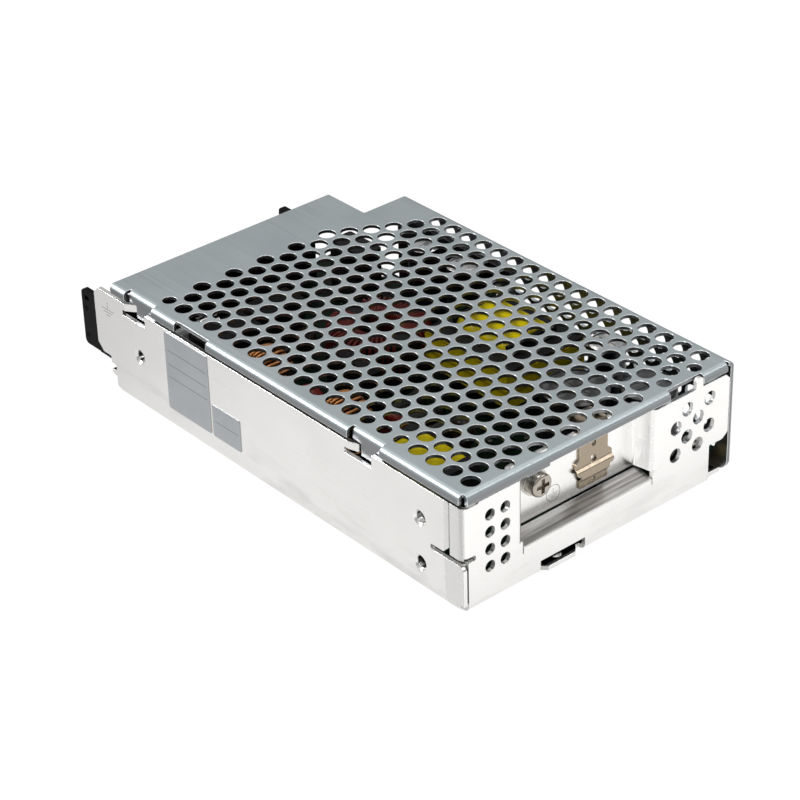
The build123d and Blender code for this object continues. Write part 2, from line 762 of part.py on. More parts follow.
def make_chassis():
    """The folded bright sheet: floor, near wall, pocket end wall and the far tabs."""
    sheet = folded_long_side()
    sheet += end_wall_cuts(end_wall_pocket(end_wall_sheet()))
    for start, lean in zip(HOOK_STARTS, HOOK_LEANS):
        notch, tab = hook_tab(start, lean)
        sheet = sheet - notch + tab
    tip = slab(0, CHASSIS_T, HOOK_TIP[0], HOOK_TIP[1], END_WALL_TOP - OVERCUT, HEIGHT - SHEET_GAP / 2)
    upright = [edge for edge in tip.edges().filter_by(Axis.X) if edge.center().Z > END_WALL_TOP]
    sheet += fillet(upright, HOOK_TIP_TOP_R)
    for inset in TAB_INSETS:
        far_tab = slab(inset, inset + TAB_WIDTH, FLOOR_FAR - CHASSIS_T, FLOOR_FAR, 0, TAB_TOP)
        sheet += far_tab
        screw_d = inset + TAB_WIDTH / 2
        sheet -= pin_y(screw_d, FLOOR_FAR - 2 * CHASSIS_T, FLOOR_FAR + OVERCUT, COVER_SCREW_Z, COVER_SCREW_D)
    for d, z in side_hole_places():
        sheet += pin_y(d, NEAR_IN - COLLAR_ROOT, NEAR_IN + COLLAR_DEPTH, z, COLLAR_D)
        sheet -= pin_y(d, NEAR_Y - OVERCUT, NEAR_IN + COLLAR_DEPTH + OVERCUT, z, M4_BORE)
        mouth_at = Pos(along(d), NEAR_Y + M4_MOUTH_DEPTH / 2, z) * Rot(90, 0, 0)
        sheet -= mouth_at * Cone(M4_BORE / 2, M4_MOUTH / 2, M4_MOUTH_DEPTH)
    for d, y in floor_hole_places():
        sheet -= pin_z(d, y, -OVERCUT, CHASSIS_T + OVERCUT, FLOOR_HOLE_BORE)
    earth_y = NEAR_Y + POCKET_START + EARTH_Y_INSET
    sheet -= pin_x(PANEL_OUT - OVERCUT, PANEL_IN + OVERCUT, earth_y, EARTH_Z, EARTH_SCREW_D)
    return sheet


def side_hole_places():
    """Distance and height of the three threaded holes in the near wall."""
    pair = [(SIDE_PAIR_INSET, z) for z in SIDE_PAIR_Z]
    return [(LENGTH - SIDE_HOLE_SETBACK, SIDE_HOLE_Z)] + pair


def floor_hole_places():
    """Distance and Y of the four threaded holes in the floor."""
    near, far = NEAR_Y + FLOOR_HOLE_EDGE, FAR_Y - FLOOR_HOLE_EDGE
    ends = (FLOOR_HOLE_INSET, LENGTH - FLOOR_HOLE_SETBACK)
    return [(d, y) for d in ends for y in (near, far)]


# Cover


def top_hole_places():
    """Distance, Y and diameter of each hole of the top sheet, in staggered rows from the near edge."""
    places = []
    rows = floor((WIDTH - FIRST_ROW - FIRST_HOLE) / ROW_STEP) + 1
    last = COVER_LENGTH - PLAIN_STRIP - HOLE_D / 2
    for row in range(rows):
        y = NEAR_Y + FIRST_ROW + row * ROW_STEP
        d = FIRST_HOLE + (row % 2) * PITCH / 2
        if row >= rows - 4:
            last_here = last - (row + 5 - rows) * PITCH / 2
        else:
            last_here = last
        while d < last_here + PITCH / 2:
            places.append((d, y, HOLE_D))
            d += PITCH
    return places


def is_small(d, y):
    """Whether the hole at this place is one of the few smaller ones near the folded edges."""
    column = round((d - FIRST_HOLE) / PITCH)
    row = round((y - NEAR_Y - FIRST_ROW) / ROW_STEP)
    in_first_row = row == 0 and column in (4, 5, 6, 19)
    return in_first_row or (row in (12, 14) and column == 0)


def pierced_top():
    """Flat top of the cover with its holes and the open corner over the adjuster."""
    r = COVER_OUT_R
    notch_start = COVER_LENGTH - CORNER_NOTCH_LENGTH
    notch_y = FAR_Y - CORNER_NOTCH_WIDTH
    corners = [
        (r, NEAR_Y + r),
        (COVER_LENGTH, NEAR_Y + r),
        (COVER_LENGTH, notch_y),
        (notch_start, notch_y),
        (notch_start, FAR_Y - r),
        (r, FAR_Y - r),
    ]
    placed = [(along(d), y) for d, y in corners]
    outer = outline_face(placed, [0, 0, NOTCH_R, NOTCH_R, 0, 0]).wire()
    holes = []
    for d, y, size in top_hole_places():
        radius = (SMALL_HOLE_D if is_small(d, y) else size) / 2
        holes.append(Wire.make_circle(radius, Plane((along(d), y, 0))))
    face = Face(outer, holes)
    return extrude(Pos(0, 0, COVER_IN) * face, COVER_T, dir=(0, 0, 1))


def tab_middles():
    """Distance of the middle of each far tab, where its cover screw goes."""
    return [inset + TAB_WIDTH / 2 for inset in TAB_INSETS]


def wall_hole_places():
    """Distance and height of each hole of the far wall, left out round the screws."""
    places = []
    last = COVER_LENGTH - PLAIN_STRIP - CORNER_NOTCH_LENGTH / 4
    screws = tab_middles()
    for row in range(WALL_ROWS):
        z = HEIGHT - WALL_FIRST_ROW - row * ROW_STEP
        d = WALL_FIRST_HOLE + ((row + 1) % 2) * PITCH / 2
        while d < last:
            near_screw = any(abs(d - s) < PITCH and abs(z - COVER_SCREW_Z) < PITCH for s in screws)
            if not near_screw:
                places.append((d, z))
            d += PITCH
    return places


def pierced_far_wall():
    """Flat far wall of the cover with its holes and its rounded foot corner."""
    top = HEIGHT - COVER_OUT_R
    back = COVER_LENGTH - CORNER_NOTCH_LENGTH
    corners = [(0, COVER_FOOT), (0, top), (back, top), (back, COVER_FOOT)]
    placed = [(along(d), z) for d, z in corners]
    outer = outline_face(placed, [COVER_FOOT_R, 0, 0, COVER_FOOT_R]).wire()
    holes = [Wire.make_circle(HOLE_D / 2, Plane((along(d), z, 0))) for d, z in wall_hole_places()]
    face = Plane.XZ.offset(-FAR_Y) * Face(outer, holes)
    wall = extrude(face, COVER_T, dir=(0, -1, 0))
    for d in tab_middles():
        head = Pos(along(d), FAR_IN + COVER_T / 2, COVER_SCREW_Z)
        bore = COVER_SCREW_D / 2 + SCREW_CLEARANCE
        mouth = COVER_SCREW_HEAD_D / 2 + SCREW_CLEARANCE
        wall -= head * Rot(90, 0, 0) * Cone(mouth, bore, COVER_T)
    return wall


def cover_lug(start):
    """Stretch of the near fold set inward behind the chassis wall, clear of the hook tab."""
    face_y = NEAR_IN + HOOK_GAP
    flat_y = face_y + COVER_OUT_R + FOLD_LAP
    first, last = start - LUG_SPAN[1], start - LUG_SPAN[0]
    foot = HEIGHT - LUG_DEPTH
    out = face_y - OVERCUT
    lug = bend_x(face_y, foot, flat_y, HEIGHT, COVER_T, COVER_BEND, first, last)
    corner = slab(first, first + LUG_R, out, flat_y, foot, foot + LUG_R)
    lug -= corner - pin_y(first + LUG_R, out, flat_y, foot + LUG_R, 2 * LUG_R)
    tab_end = start - HOOK_REACH - HOOK_TAB_GAP
    lug -= slab(tab_end, last + OVERCUT, out, flat_y, foot - OVERCUT, NEAR_WALL_TOP + HOOK_TAB_GAP)
    deep = slab(first, last, NEAR_Y - OVERCUT, flat_y, 0, HEIGHT + OVERCUT)
    cut_y = NEAR_Y + LUG_CUT_DEPTH
    for low, high in ((first - LUG_CUT / 2, first), (last, last + LUG_CUT)):
        points = [(low, NEAR_Y - OVERCUT), (high, NEAR_Y - OVERCUT), (high, cut_y), (low, cut_y)]
        radii = [0, 0, LUG_CUT_R / 2, LUG_CUT_R / 2]
        deep += plan_prism(points, radii, 0, HEIGHT + OVERCUT)
    return lug, deep


def make_cover():
    """The perforated sheet: top, far wall, short flanges along the near side and over the end wall."""
    r = COVER_OUT_R
    sheet = pierced_top() + pierced_far_wall()
    notch_start = COVER_LENGTH - CORNER_NOTCH_LENGTH
    flat_near, flat_far = NEAR_Y + r + FOLD_LAP, FAR_Y - r - FOLD_LAP
    foot = HEIGHT - FLANGE_DEPTH
    sheet += bend_x(NEAR_Y, foot, flat_near, HEIGHT, COVER_T, COVER_BEND, r, COVER_LENGTH)
    foot = HEIGHT - r - FOLD_LAP
    sheet += bend_x(FAR_Y, foot, flat_far, HEIGHT, COVER_T, COVER_BEND, 0, notch_start)
    pocket_edge = POCKET_NEAR + POCKET_SLOPE + SHEET_GAP
    steps = (
        (flat_near - CORNER_GAP, pocket_edge, END_FLANGE_DEPTH + END_FLANGE_STEPS[0]),
        (pocket_edge, POCKET_NEAR + EARTH_Y_INSET, END_FLANGE_DEPTH + END_FLANGE_STEPS[1]),
        (POCKET_NEAR + EARTH_Y_INSET, flat_far - CORNER_GAP, END_FLANGE_DEPTH),
    )
    for near, far, depth in steps:
        points = [
            (0, HEIGHT - depth),
            (0, HEIGHT),
            (r + FOLD_LAP, HEIGHT),
            (r + FOLD_LAP, COVER_IN),
            (COVER_T, COVER_IN),
            (COVER_T, HEIGHT - depth),
        ]
        sheet += side_prism(points, [0, r, 0, 0, COVER_BEND, 0], near, far)
    for start in HOOK_STARTS:
        lug, cut = cover_lug(start)
        sheet = sheet - cut + lug
    long_cut = (LENGTH - LONG_CUT_SETBACKS[1], LENGTH - LONG_CUT_SETBACKS[0])
    sheet -= slab(*long_cut, NEAR_Y - OVERCUT, NEAR_Y + LONG_CUT_DEPTH, 0, HEIGHT + OVERCUT)
    tip_cut_far = HOOK_TIP[1] + TIP_CUT_GAP
    sheet -= slab(-OVERCUT, CHASSIS_T + TIP_CUT_GAP, TIP_CUT_START, tip_cut_far, 0, HEIGHT + OVERCUT)
    return sheet


# Fixings of the case


def make_cover_screws():
    """Countersunk screws through the cover's far wall into the chassis tabs."""
    screws = []
    for d in tab_middles():
        head_at = Pos(along(d), FAR_IN + COVER_T / 2, COVER_SCREW_Z)
        head = head_at * Rot(90, 0, 0) * Cone(COVER_SCREW_HEAD_D / 2, COVER_SCREW_D / 2, COVER_T)
        middle = FAR_IN + COVER_T / 2
        screw = head + pin_y(d, middle - COVER_SCREW_LENGTH, middle, COVER_SCREW_Z, COVER_SCREW_D)
        span, half, face = DRIVER_SPAN / 2, DRIVER_WIDTH / 2, FAR_Y - DRIVER_DEPTH
        screw -= slab(d - span, d + span, face, HEIGHT + FAR_Y, COVER_SCREW_Z - half, COVER_SCREW_Z + half)
        screw -= slab(d - half, d + half, face, HEIGHT + FAR_Y, COVER_SCREW_Z - span, COVER_SCREW_Z + span)
        screws.append(screw)
    return screws


def cross_recess_x(face_d, depth, y, z, span, width):
    """Cross-shaped driver recess cut into a head that faces the pocket end."""
    tall = slab(face_d - OVERCUT, face_d + depth, y - width / 2, y + width / 2, z - span / 2, z + span / 2)
    flat = slab(face_d - OVERCUT, face_d + depth, y - span / 2, y + span / 2, z - width / 2, z + width / 2)
    return tall + flat


def cross_recess_z(top, d, y, span, width, depth):
    """Cross-shaped driver recess cut down into a head that faces up."""
    half, thin = span / 2, width / 2
    cross = slab(d - half, d + half, y - thin, y + thin, top - depth, top + OVERCUT)
    return cross + slab(d - thin, d + thin, y - half, y + half, top - depth, top + OVERCUT)


def earth_stack():
    """Screw, spring washer and flat washer of the earth point in the pocket, from the panel outward."""
    y = POCKET_NEAR + EARTH_Y_INSET
    flat_face = PANEL_OUT - EARTH_FLAT_T
    spring_face = flat_face - EARTH_SPRING_T
    head_face = spring_face - EARTH_HEAD
    flat = pin_x(flat_face, PANEL_OUT, y, EARTH_Z, EARTH_FLAT_D)
    flat -= pin_x(flat_face - OVERCUT, PANEL_OUT + OVERCUT, y, EARTH_Z, WASHER_BORE)
    spring = pin_x(spring_face, flat_face, y, EARTH_Z, EARTH_SPRING_D)
    spring -= pin_x(spring_face - OVERCUT, flat_face + OVERCUT, y, EARTH_Z, WASHER_BORE)
    low, high = EARTH_Z - SPRING_SPLIT / 2, EARTH_Z + SPRING_SPLIT / 2
    spring -= slab(spring_face - OVERCUT, flat_face + OVERCUT, y, y + EARTH_SPRING_D, low, high)
    head = pin_x(head_face, spring_face, y, EARTH_Z, EARTH_HEAD_D)
    rim = [edge for edge in head.edges() if edge.center().X > along(head_face) - 0.1]
    head = fillet(rim, EARTH_HEAD * HEAD_EDGE_SHARE)
    screw = head + pin_x(spring_face, spring_face + EARTH_LENGTH, y, EARTH_Z, EARTH_SCREW_D)
    span, width, depth = EARTH_RECESS
    screw -= cross_recess_x(head_face, depth, y, EARTH_Z, span, width)
    return screw, spring, flat


# Clip, pad and transistor


def make_spring_clip():
    """Leaf of spring metal hooked over the pocket panel: shaped outer leg, top bend and inner leg."""
    near = POCKET_NEAR + CLIP_INSET
    far = near + CLIP_WIDTH
    out = PANEL_OUT - CLIP_GAP
    inner = PANEL_IN + PAD_T + TRANSISTOR_T
    top = END_WALL_TOP + CLIP_TOP_GAP + CLIP_T
    low, high = CLIP_BULGE_Z
    t, b = CLIP_T, CLIP_BULGE
    points = [
        (out - t, CLIP_FOOT),
        (out - t, low),
        (out - t - b, low + b),
        (out - t - b, high - b),
        (out - t, high),
        (out - t, top),
        (inner + t, top),
        (inner + t, END_WALL_TOP - CLIP_INNER_LEG),
        (inner, END_WALL_TOP - CLIP_INNER_LEG),
        (inner, top - t),
        (out, top - t),
        (out, high),
        (out - b, high - b),
        (out - b, low + b),
        (out, low),
        (out, CLIP_FOOT),
    ]
    leg, turn = 4 * [CLIP_BEND_R], 2 * [CLIP_TOP_R + CLIP_T]
    radii = [0, *leg, *turn, 0, 0, CLIP_TOP_R, CLIP_TOP_R, *leg, 0]
    wide_near = near - (CLIP_EAR_WIDTH - CLIP_WIDTH) / 2
    wide_far = wide_near + CLIP_EAR_WIDTH
    leaf = side_prism(points, radii, wide_near, wide_far)
    mask_points = [
        (near, CLIP_FOOT - OVERCUT),
        (near, CLIP_EARS[0]),
        (wide_near, CLIP_EARS[0]),
        (wide_near, CLIP_EARS[1]),
        (near, CLIP_EARS[1] + CLIP_EAR_SLOPE),
        (near, HEIGHT),
        (far, HEIGHT),
        (far, CLIP_EARS[1] + CLIP_EAR_SLOPE),
        (wide_far, CLIP_EARS[1]),
        (wide_far, CLIP_EARS[0]),
        (far, CLIP_EARS[0]),
        (far, CLIP_FOOT - OVERCUT),
    ]
    waist, ear = CLIP_WAIST_R, CLIP_EAR_R
    mask_radii = [0, waist, ear, ear, 0, 0, 0, 0, ear, ear, waist, 0]
    leaf &= cross_prism(mask_points, mask_radii, 0, inner + 2 * t)
    middle = (near + far) / 2
    half = CLIP_WINDOW / 2
    leaf -= slab(0, PANEL_OUT, middle - half, middle + half, CLIP_WINDOW_Z - half, CLIP_WINDOW_Z + half)
    for z in CLIP_HOLES_Z:
        leaf -= pin_x(0, PANEL_OUT, middle, z, CLIP_HOLE_D)
    return leaf


def transistor_middle():
    """Y of the middle of the clamped transistor, pad and clip."""
    return POCKET_NEAR + CLIP_INSET + CLIP_WIDTH / 2


def make_thermal_pad():
    """Insulating pad between the pocket panel and the transistor."""
    y = transistor_middle()
    half = TRANSISTOR_WIDTH / 2 + PAD_MARGIN
    top = TRANSISTOR_FOOT + TRANSISTOR_HEIGHT + PAD_RISE
    return slab(PANEL_IN, PANEL_IN + PAD_T, y - half, y + half, PANEL_FOOT + PAD_LIFT, top)


def make_clamped_transistor():
    """Flat power transistor with three leads down to the board."""
    y = transistor_middle()
    half = TRANSISTOR_WIDTH / 2
    face = PANEL_IN + PAD_T
    top = TRANSISTOR_FOOT + TRANSISTOR_HEIGHT
    body = slab(face, face + TRANSISTOR_T, y - half, y + half, TRANSISTOR_FOOT, top)
    body = chamfer(body.edges().filter_by(Axis.X), TRANSISTOR_CHAMFER)
    lead_d = face + TRANSISTOR_T / 2
    for step in (-1, 0, 1):
        lead_y = y + step * LEAD_PITCH
        low, high = lead_y - LEAD_WIDTH / 2, lead_y + LEAD_WIDTH / 2
        body += slab(lead_d, lead_d + LEAD_T, low, high, BOARD_TOP, TRANSISTOR_FOOT + OVERCUT)
    return body


# Labels


def make_label(setbacks, top):
    """Blank label stuck flat on the near wall, between two distances from the terminal end."""
    d0, d1 = LENGTH - setbacks[1], LENGTH - setbacks[0]
    points = [(d0, LABEL_FOOT), (d1, LABEL_FOOT), (d1, top), (d0, top)]
    return side_prism(points, [LABEL_R] * 4, NEAR_Y - LABEL_T, NEAR_Y)


# Board, film and standoffs


def standoff_places():
    """Distance and Y of the four standoffs."""
    near = NEAR_IN + STANDOFF_EDGE
    far = FLOOR_FAR - CHASSIS_T - STANDOFF_FAR_EDGE
    return [(d, y) for d in (STANDOFF_INSET, LENGTH - STANDOFF_SETBACK) for y in (near, far)]


def make_board():
    """Circuit board on its standoffs, reaching out under the terminal block."""
    near = NEAR_IN + BOARD_GAP
    back = LENGTH - BOARD_SETBACK
    board = slab(CHASSIS_T + BOARD_GAP, back, near, BOARD_FAR, BOARD_FOOT, BOARD_TOP)
    for d, y in standoff_places():
        board -= pin_z(d, y, BOARD_FOOT - OVERCUT, BOARD_TOP + OVERCUT, BOARD_HOLE_D)
    return board


def make_film():
    """Insulating film: flat under the board, turned up along the near wall, with a tongue at the end wall."""
    near = NEAR_IN + SHEET_GAP
    far = FLOOR_FAR - CHASSIS_T - FILM_GAP
    start, end = CHASSIS_T + CHASSIS_BEND + FILM_GAP, LENGTH - FLOOR_SETBACK - FILM_GAP
    foot = CHASSIS_T
    points = [
        (near, foot + FILM_TURN_UP),
        (near, foot),
        (far, foot),
        (far, foot + FILM_T),
        (near + FILM_T, foot + FILM_T),
        (near + FILM_T, foot + FILM_TURN_UP),
    ]
    film = cross_prism(points, [0, FILM_BEND_R + FILM_T, 0, 0, FILM_BEND_R, 0], start, end)
    film += tongue_plate(FILM_T, foot) & slab(FILM_GAP, SEAM, NEAR_Y, FAR_Y, 0, BOARD_FOOT)
    for d, y in standoff_places():
        film -= pin_z(d, y, 0, BOARD_FOOT, STANDOFF_D + 2 * FILM_GAP)
    for d, y in floor_hole_places():
        film -= pin_z(d, y, 0, BOARD_FOOT, STANDOFF_D)
    return film


def make_standoffs():
    """Threaded spacers between floor and board."""
    posts = []
    for d, y in standoff_places():
        post = pin_z(d, y, CHASSIS_T, BOARD_FOOT, STANDOFF_D)
        posts.append(post - pin_z(d, y, CHASSIS_T + STANDOFF_FLOOR, BOARD_FOOT + OVERCUT, STANDOFF_BORE))
    return posts


def make_board_screws():
    """Pan-head screws that hold the board on its standoffs."""
    screws = []
    for d, y in standoff_places():
        head = pin_z(d, y, BOARD_TOP, BOARD_TOP + BOARD_SCREW_HEAD, BOARD_SCREW_HEAD_D)
        rim = [edge for edge in head.edges() if edge.center().Z > BOARD_TOP + BOARD_SCREW_HEAD / 2]
        rim = [edge for edge in rim if edge.geom_type == GeomType.CIRCLE]
        head = fillet(rim, BOARD_SCREW_HEAD * HEAD_EDGE_SHARE)
        screw = head + pin_z(d, y, BOARD_TOP - BOARD_SCREW_LENGTH, BOARD_TOP, STANDOFF_BORE)
        screws.append(screw - cross_recess_z(BOARD_TOP + BOARD_SCREW_HEAD, d, y, *BOARD_SCREW_RECESS))
    return screws


# Terminal block


def pole_middles():
    """Y of the middle of each pole of the terminal block."""
    near = NEAR_IN + BLOCK_GAP + BLOCK_END_T
    clear = POLE_PITCH - BARRIER_T
    return [near + clear / 2 + pole * POLE_PITCH for pole in range(POLES)]


def block_side():
    """Side outline of the terminal block with its rounded nose and its step over the board's edge."""
    front, back = LENGTH, LENGTH - BLOCK_DEPTH
    edge = LENGTH - BOARD_SETBACK
    points = [
        (back, BOARD_TOP),
        (edge + BLOCK_GAP, BOARD_TOP),
        (edge + BLOCK_GAP, BLOCK_NOSE_FOOT),
        (front, BLOCK_NOSE_FOOT),
        (front, BLOCK_TOP),
        (back, BLOCK_TOP),
    ]
    return points, [0, 0, 0, BLOCK_NOSE_R, BLOCK_TOP_R, 0]


def make_terminal_block():
    """Moulded block: base, back wall, taller end walls and barriers between the poles."""
    near = NEAR_IN + BLOCK_GAP
    far = near + 2 * BLOCK_END_T + POLES * POLE_PITCH - BARRIER_T
    points, radii = block_side()
    block = side_prism(points, radii, near, far)
    middles = pole_middles()
    clear = POLE_PITCH - BARRIER_T
    back = LENGTH - BLOCK_DEPTH + BLOCK_BACK_T
    first, last = middles[0] - clear / 2, middles[-1] + clear / 2
    block -= slab(back, LENGTH + OVERCUT, first, last, BARRIER_TOP, BLOCK_TOP + OVERCUT)
    block -= slab(0, back, first, last, BLOCK_BACK_TOP, BLOCK_TOP + OVERCUT)
    for y in middles:
        block -= slab(back, LENGTH + OVERCUT, y - clear / 2, y + clear / 2, BLOCK_SEAT, BLOCK_TOP + OVERCUT)
        screw_d = LENGTH - TERMINAL_SCREW_REACH
        depth = TERMINAL_SCREW_LENGTH + TERMINAL_WELL
        well_d = TERMINAL_SCREW_D + 2 * CONTACT_GAP
        block -= pin_z(screw_d, y, BLOCK_SEAT - depth, BLOCK_SEAT + OVERCUT, well_d)
        leg_back = back - CONTACT_LEG - CONTACT_GAP
        leg_top = BLOCK_SEAT + CONTACT_T + CONTACT_GAP
        leg_half = CONTACT_WIDTH / 2 + CONTACT_GAP
        block -= slab(leg_back, back + OVERCUT, y - leg_half, y + leg_half, 0, leg_top)
    slot_start = LENGTH - BLOCK_SLOT_REACH - BLOCK_SLOT_WIDTH / 2
    slot_end = slot_start + BLOCK_SLOT_WIDTH
    block -= slab(slot_start, slot_end, near - OVERCUT, first + OVERCUT, *BLOCK_SLOT_Z)
    outer, inner = BLOCK_RING_D
    for reach, z in BLOCK_RINGS:
        ring = pin_y(LENGTH - reach, near - OVERCUT, near + BLOCK_RING_DEPTH, z, outer)
        block -= ring - pin_y(LENGTH - reach, near - OVERCUT, near + BLOCK_RING_DEPTH, z, inner)
    return block


def make_terminal_contacts():
    """Bent plates under the screws, each with a leg down to the board behind the block's seat."""
    back = LENGTH - BLOCK_DEPTH + BLOCK_BACK_T
    plates = []
    for y in pole_middles():
        leg_d = back - CONTACT_LEG
        points = [
            (leg_d, BOARD_TOP),
            (leg_d, BLOCK_SEAT + CONTACT_T),
            (LENGTH - CONTACT_BACKSET, BLOCK_SEAT + CONTACT_T),
            (LENGTH - CONTACT_BACKSET, BLOCK_SEAT),
            (leg_d + CONTACT_T, BLOCK_SEAT),
            (leg_d + CONTACT_T, BOARD_TOP),
        ]
        radii = [0, CONTACT_BEND_R, 0, 0, CONTACT_INNER_R, 0]
        plate = side_prism(points, radii, y - CONTACT_WIDTH / 2, y + CONTACT_WIDTH / 2)
        screw_d = LENGTH - TERMINAL_SCREW_REACH
        plate -= pin_z(screw_d, y, 0, ROOM_TOP, TERMINAL_SCREW_D + 2 * CONTACT_GAP)
        plates.append(plate)
    return plates


def make_terminal_washers():
    """Square clamp plates under the terminal screw heads."""
    plates = []
    foot = BLOCK_SEAT + CONTACT_T
    half = CLAMP_SIDE / 2
    d = LENGTH - TERMINAL_SCREW_REACH
    for y in pole_middles():
        plate = slab(d - half, d + half, y - half, y + half, foot, foot + CLAMP_T)
        plate = fillet(plate.edges().filter_by(Axis.Z), CLAMP_R)
        plates.append(plate - pin_z(d, y, 0, ROOM_TOP, TERMINAL_SCREW_D + 2 * CONTACT_GAP))
    return plates


def make_terminal_screws():
    """Pan-head screws of the seven poles."""
    screws = []
    foot = BLOCK_SEAT + CONTACT_T + CLAMP_T
    d = LENGTH - TERMINAL_SCREW_REACH
    for y in pole_middles():
        head = pin_z(d, y, foot, foot + TERMINAL_HEAD, TERMINAL_HEAD_D)
        rim = [edge for edge in head.edges() if edge.center().Z > foot + TERMINAL_HEAD - 0.1]
        head = fillet(rim, TERMINAL_HEAD * TERMINAL_EDGE_SHARE)
        screw_foot = BLOCK_SEAT - TERMINAL_SCREW_LENGTH
        screw = head + pin_z(d, y, screw_foot, foot, TERMINAL_SCREW_D)
        screws.append(screw - cross_recess_z(foot + TERMINAL_HEAD, d, y, *TERMINAL_RECESS))
    return screws


# Coils


def make_transformer():
    """Ferrite frame, moulded bobbin and taped winding of the main transformer."""
    d, y = TRANSFORMER_AT
    half_l, half_w = TRANSFORMER_LENGTH / 2, TRANSFORMER_WIDTH / 2
    middle_z = (BOARD_TOP + BOBBIN_FOOT + ROOM_TOP) / 2
    half_h = TRANSFORMER_CORE_HEIGHT / 2
    leg = TRANSFORMER_LEG
    frame = slab(d - half_l, d + half_l, y - half_w, y + half_w, middle_z - half_h, middle_z + half_h)
    window_l = half_l - leg
    window_w = half_w - leg + LEG_WINDOW
    frame -= slab(d - window_l, d + window_l, y - window_w, y + window_w, 0, HEIGHT)
    post_d = TRANSFORMER_CORE_HEIGHT - POST_DROP
    frame += pin_x(d - window_l - leg / 2, d + window_l + leg / 2, y, middle_z, post_d)
    bore_d = post_d + 2 * WINDING_GAP
    tube_d = bore_d + 2 * BOBBIN_FLANGE
    tube = pin_x(d - window_l, d + window_l, y, middle_z, tube_d)
    bobbin = tube
    for side in (-1, 1):
        outer = d + side * (window_l - WINDING_GAP)
        inner = outer - side * BOBBIN_FLANGE
        half_flange = window_w - 2 * WINDING_GAP
        bobbin += slab(outer, inner, y - half_flange, y + half_flange, BOARD_TOP, ROOM_TOP - BOBBIN_DROP)
    bobbin -= pin_x(d - half_l, d + half_l, y, middle_z, bore_d)
    wound_l = window_l - BOBBIN_FLANGE - WOUND_SETBACK
    wound_w = window_w - WOUND_INSET
    low, high = BOARD_TOP + BOBBIN_FOOT, ROOM_TOP
    winding = slab(d - wound_l, d + wound_l, y - wound_w, y + wound_w, low, high)
    winding = fillet(winding.edges().filter_by(Axis.X), WOUND_R)
    winding -= pin_x(d - half_l, d + half_l, y, middle_z, tube_d + 2 * WINDING_GAP)
    over_l, over_w, half_belt = half_l + TAPE_T, half_w + TAPE_T, half_h - BELT_DROP
    belt = slab(d - over_l, d + over_l, y - over_w, y + over_w, middle_z - half_belt, middle_z + half_belt)
    belt = fillet(belt.edges().filter_by(Axis.Z), BELT_R)
    belt -= slab(d - half_l, d + half_l, y - half_w, y + half_w, 0, HEIGHT)
    return frame, bobbin, winding, belt


def make_taped_coil():
    """Second taped coil: two ferrite caps round a taped winding."""
    d, y = COIL_AT
    half_l, half_w = COIL_LENGTH / 2, COIL_WIDTH / 2
    low = BOARD_TOP
    high = low + COIL_HEIGHT
    caps = []
    for side in (-1, 1):
        outer = d + side * half_l
        inner = outer - side * COIL_CAP
        cap = slab(outer, inner, y - half_w, y + half_w, low, high)
        caps.append(chamfer(cap.edges().filter_by(Axis.X), COIL_CHAMFER))
    wound = half_l - COIL_CAP
    half_wound = half_w - COIL_SIDE_INSET
    foot, top = low + COIL_LIFT, high - COIL_SIDE_INSET
    winding = slab(d - wound, d + wound, y - half_wound, y + half_wound, foot, top)
    return caps, fillet(winding.edges().filter_by(Axis.X), COIL_R)


def ring_body(outer_d, bore_d, height, edge_r):
    """Ring round the Z axis with a rounded rectangular section, middle at the origin."""
    mean = (outer_d + bore_d) / 4
    width = (outer_d - bore_d) / 2
    section = Plane.XZ * (Pos(mean, 0) * RectangleRounded(width, height, edge_r))
    return revolve(section, Axis.Z, 360)


def wound_arcs(outer_d, bore_d, height, wire, gap_angle):
    """Winding sleeve over a ring core in two halves, with a gap at either side."""
    mean = (outer_d + bore_d) / 4
    width = (outer_d - bore_d) / 2
    outer = RectangleRounded(width + 2 * wire, height + 2 * wire, wire + CORE_EDGE_R)
    gap = WINDING_GAP
    inner = RectangleRounded(width + 2 * gap, height + 2 * gap, CORE_EDGE_R + gap)
    section = Plane.XZ * (Pos(mean, 0) * (outer - inner))
    arc = 180 - gap_angle
    half = revolve(section, Axis.Z, arc)
    return [Rot(0, 0, gap_angle / 2) * half, Rot(0, 0, gap_angle / 2 + 180) * half]


def make_ring_choke():
    """Large ring core lying flat on a base with its dark enamelled winding."""
    height = RING_HEIGHT
    middle_z = BOARD_TOP + RING_FOOT + RING_WIRE + height / 2
    at = Pos(along(RING_AT[0]), RING_AT[1], middle_z)
    core = at * ring_body(RING_D, RING_BORE, height, CORE_EDGE_R)
    winding = [at * half for half in wound_arcs(RING_D, RING_BORE, height, RING_WIRE, RING_GAP)]
    base = pin_z(RING_AT[0], RING_AT[1], BOARD_TOP, BOARD_TOP + RING_FOOT, RING_D)
    return core, winding, base


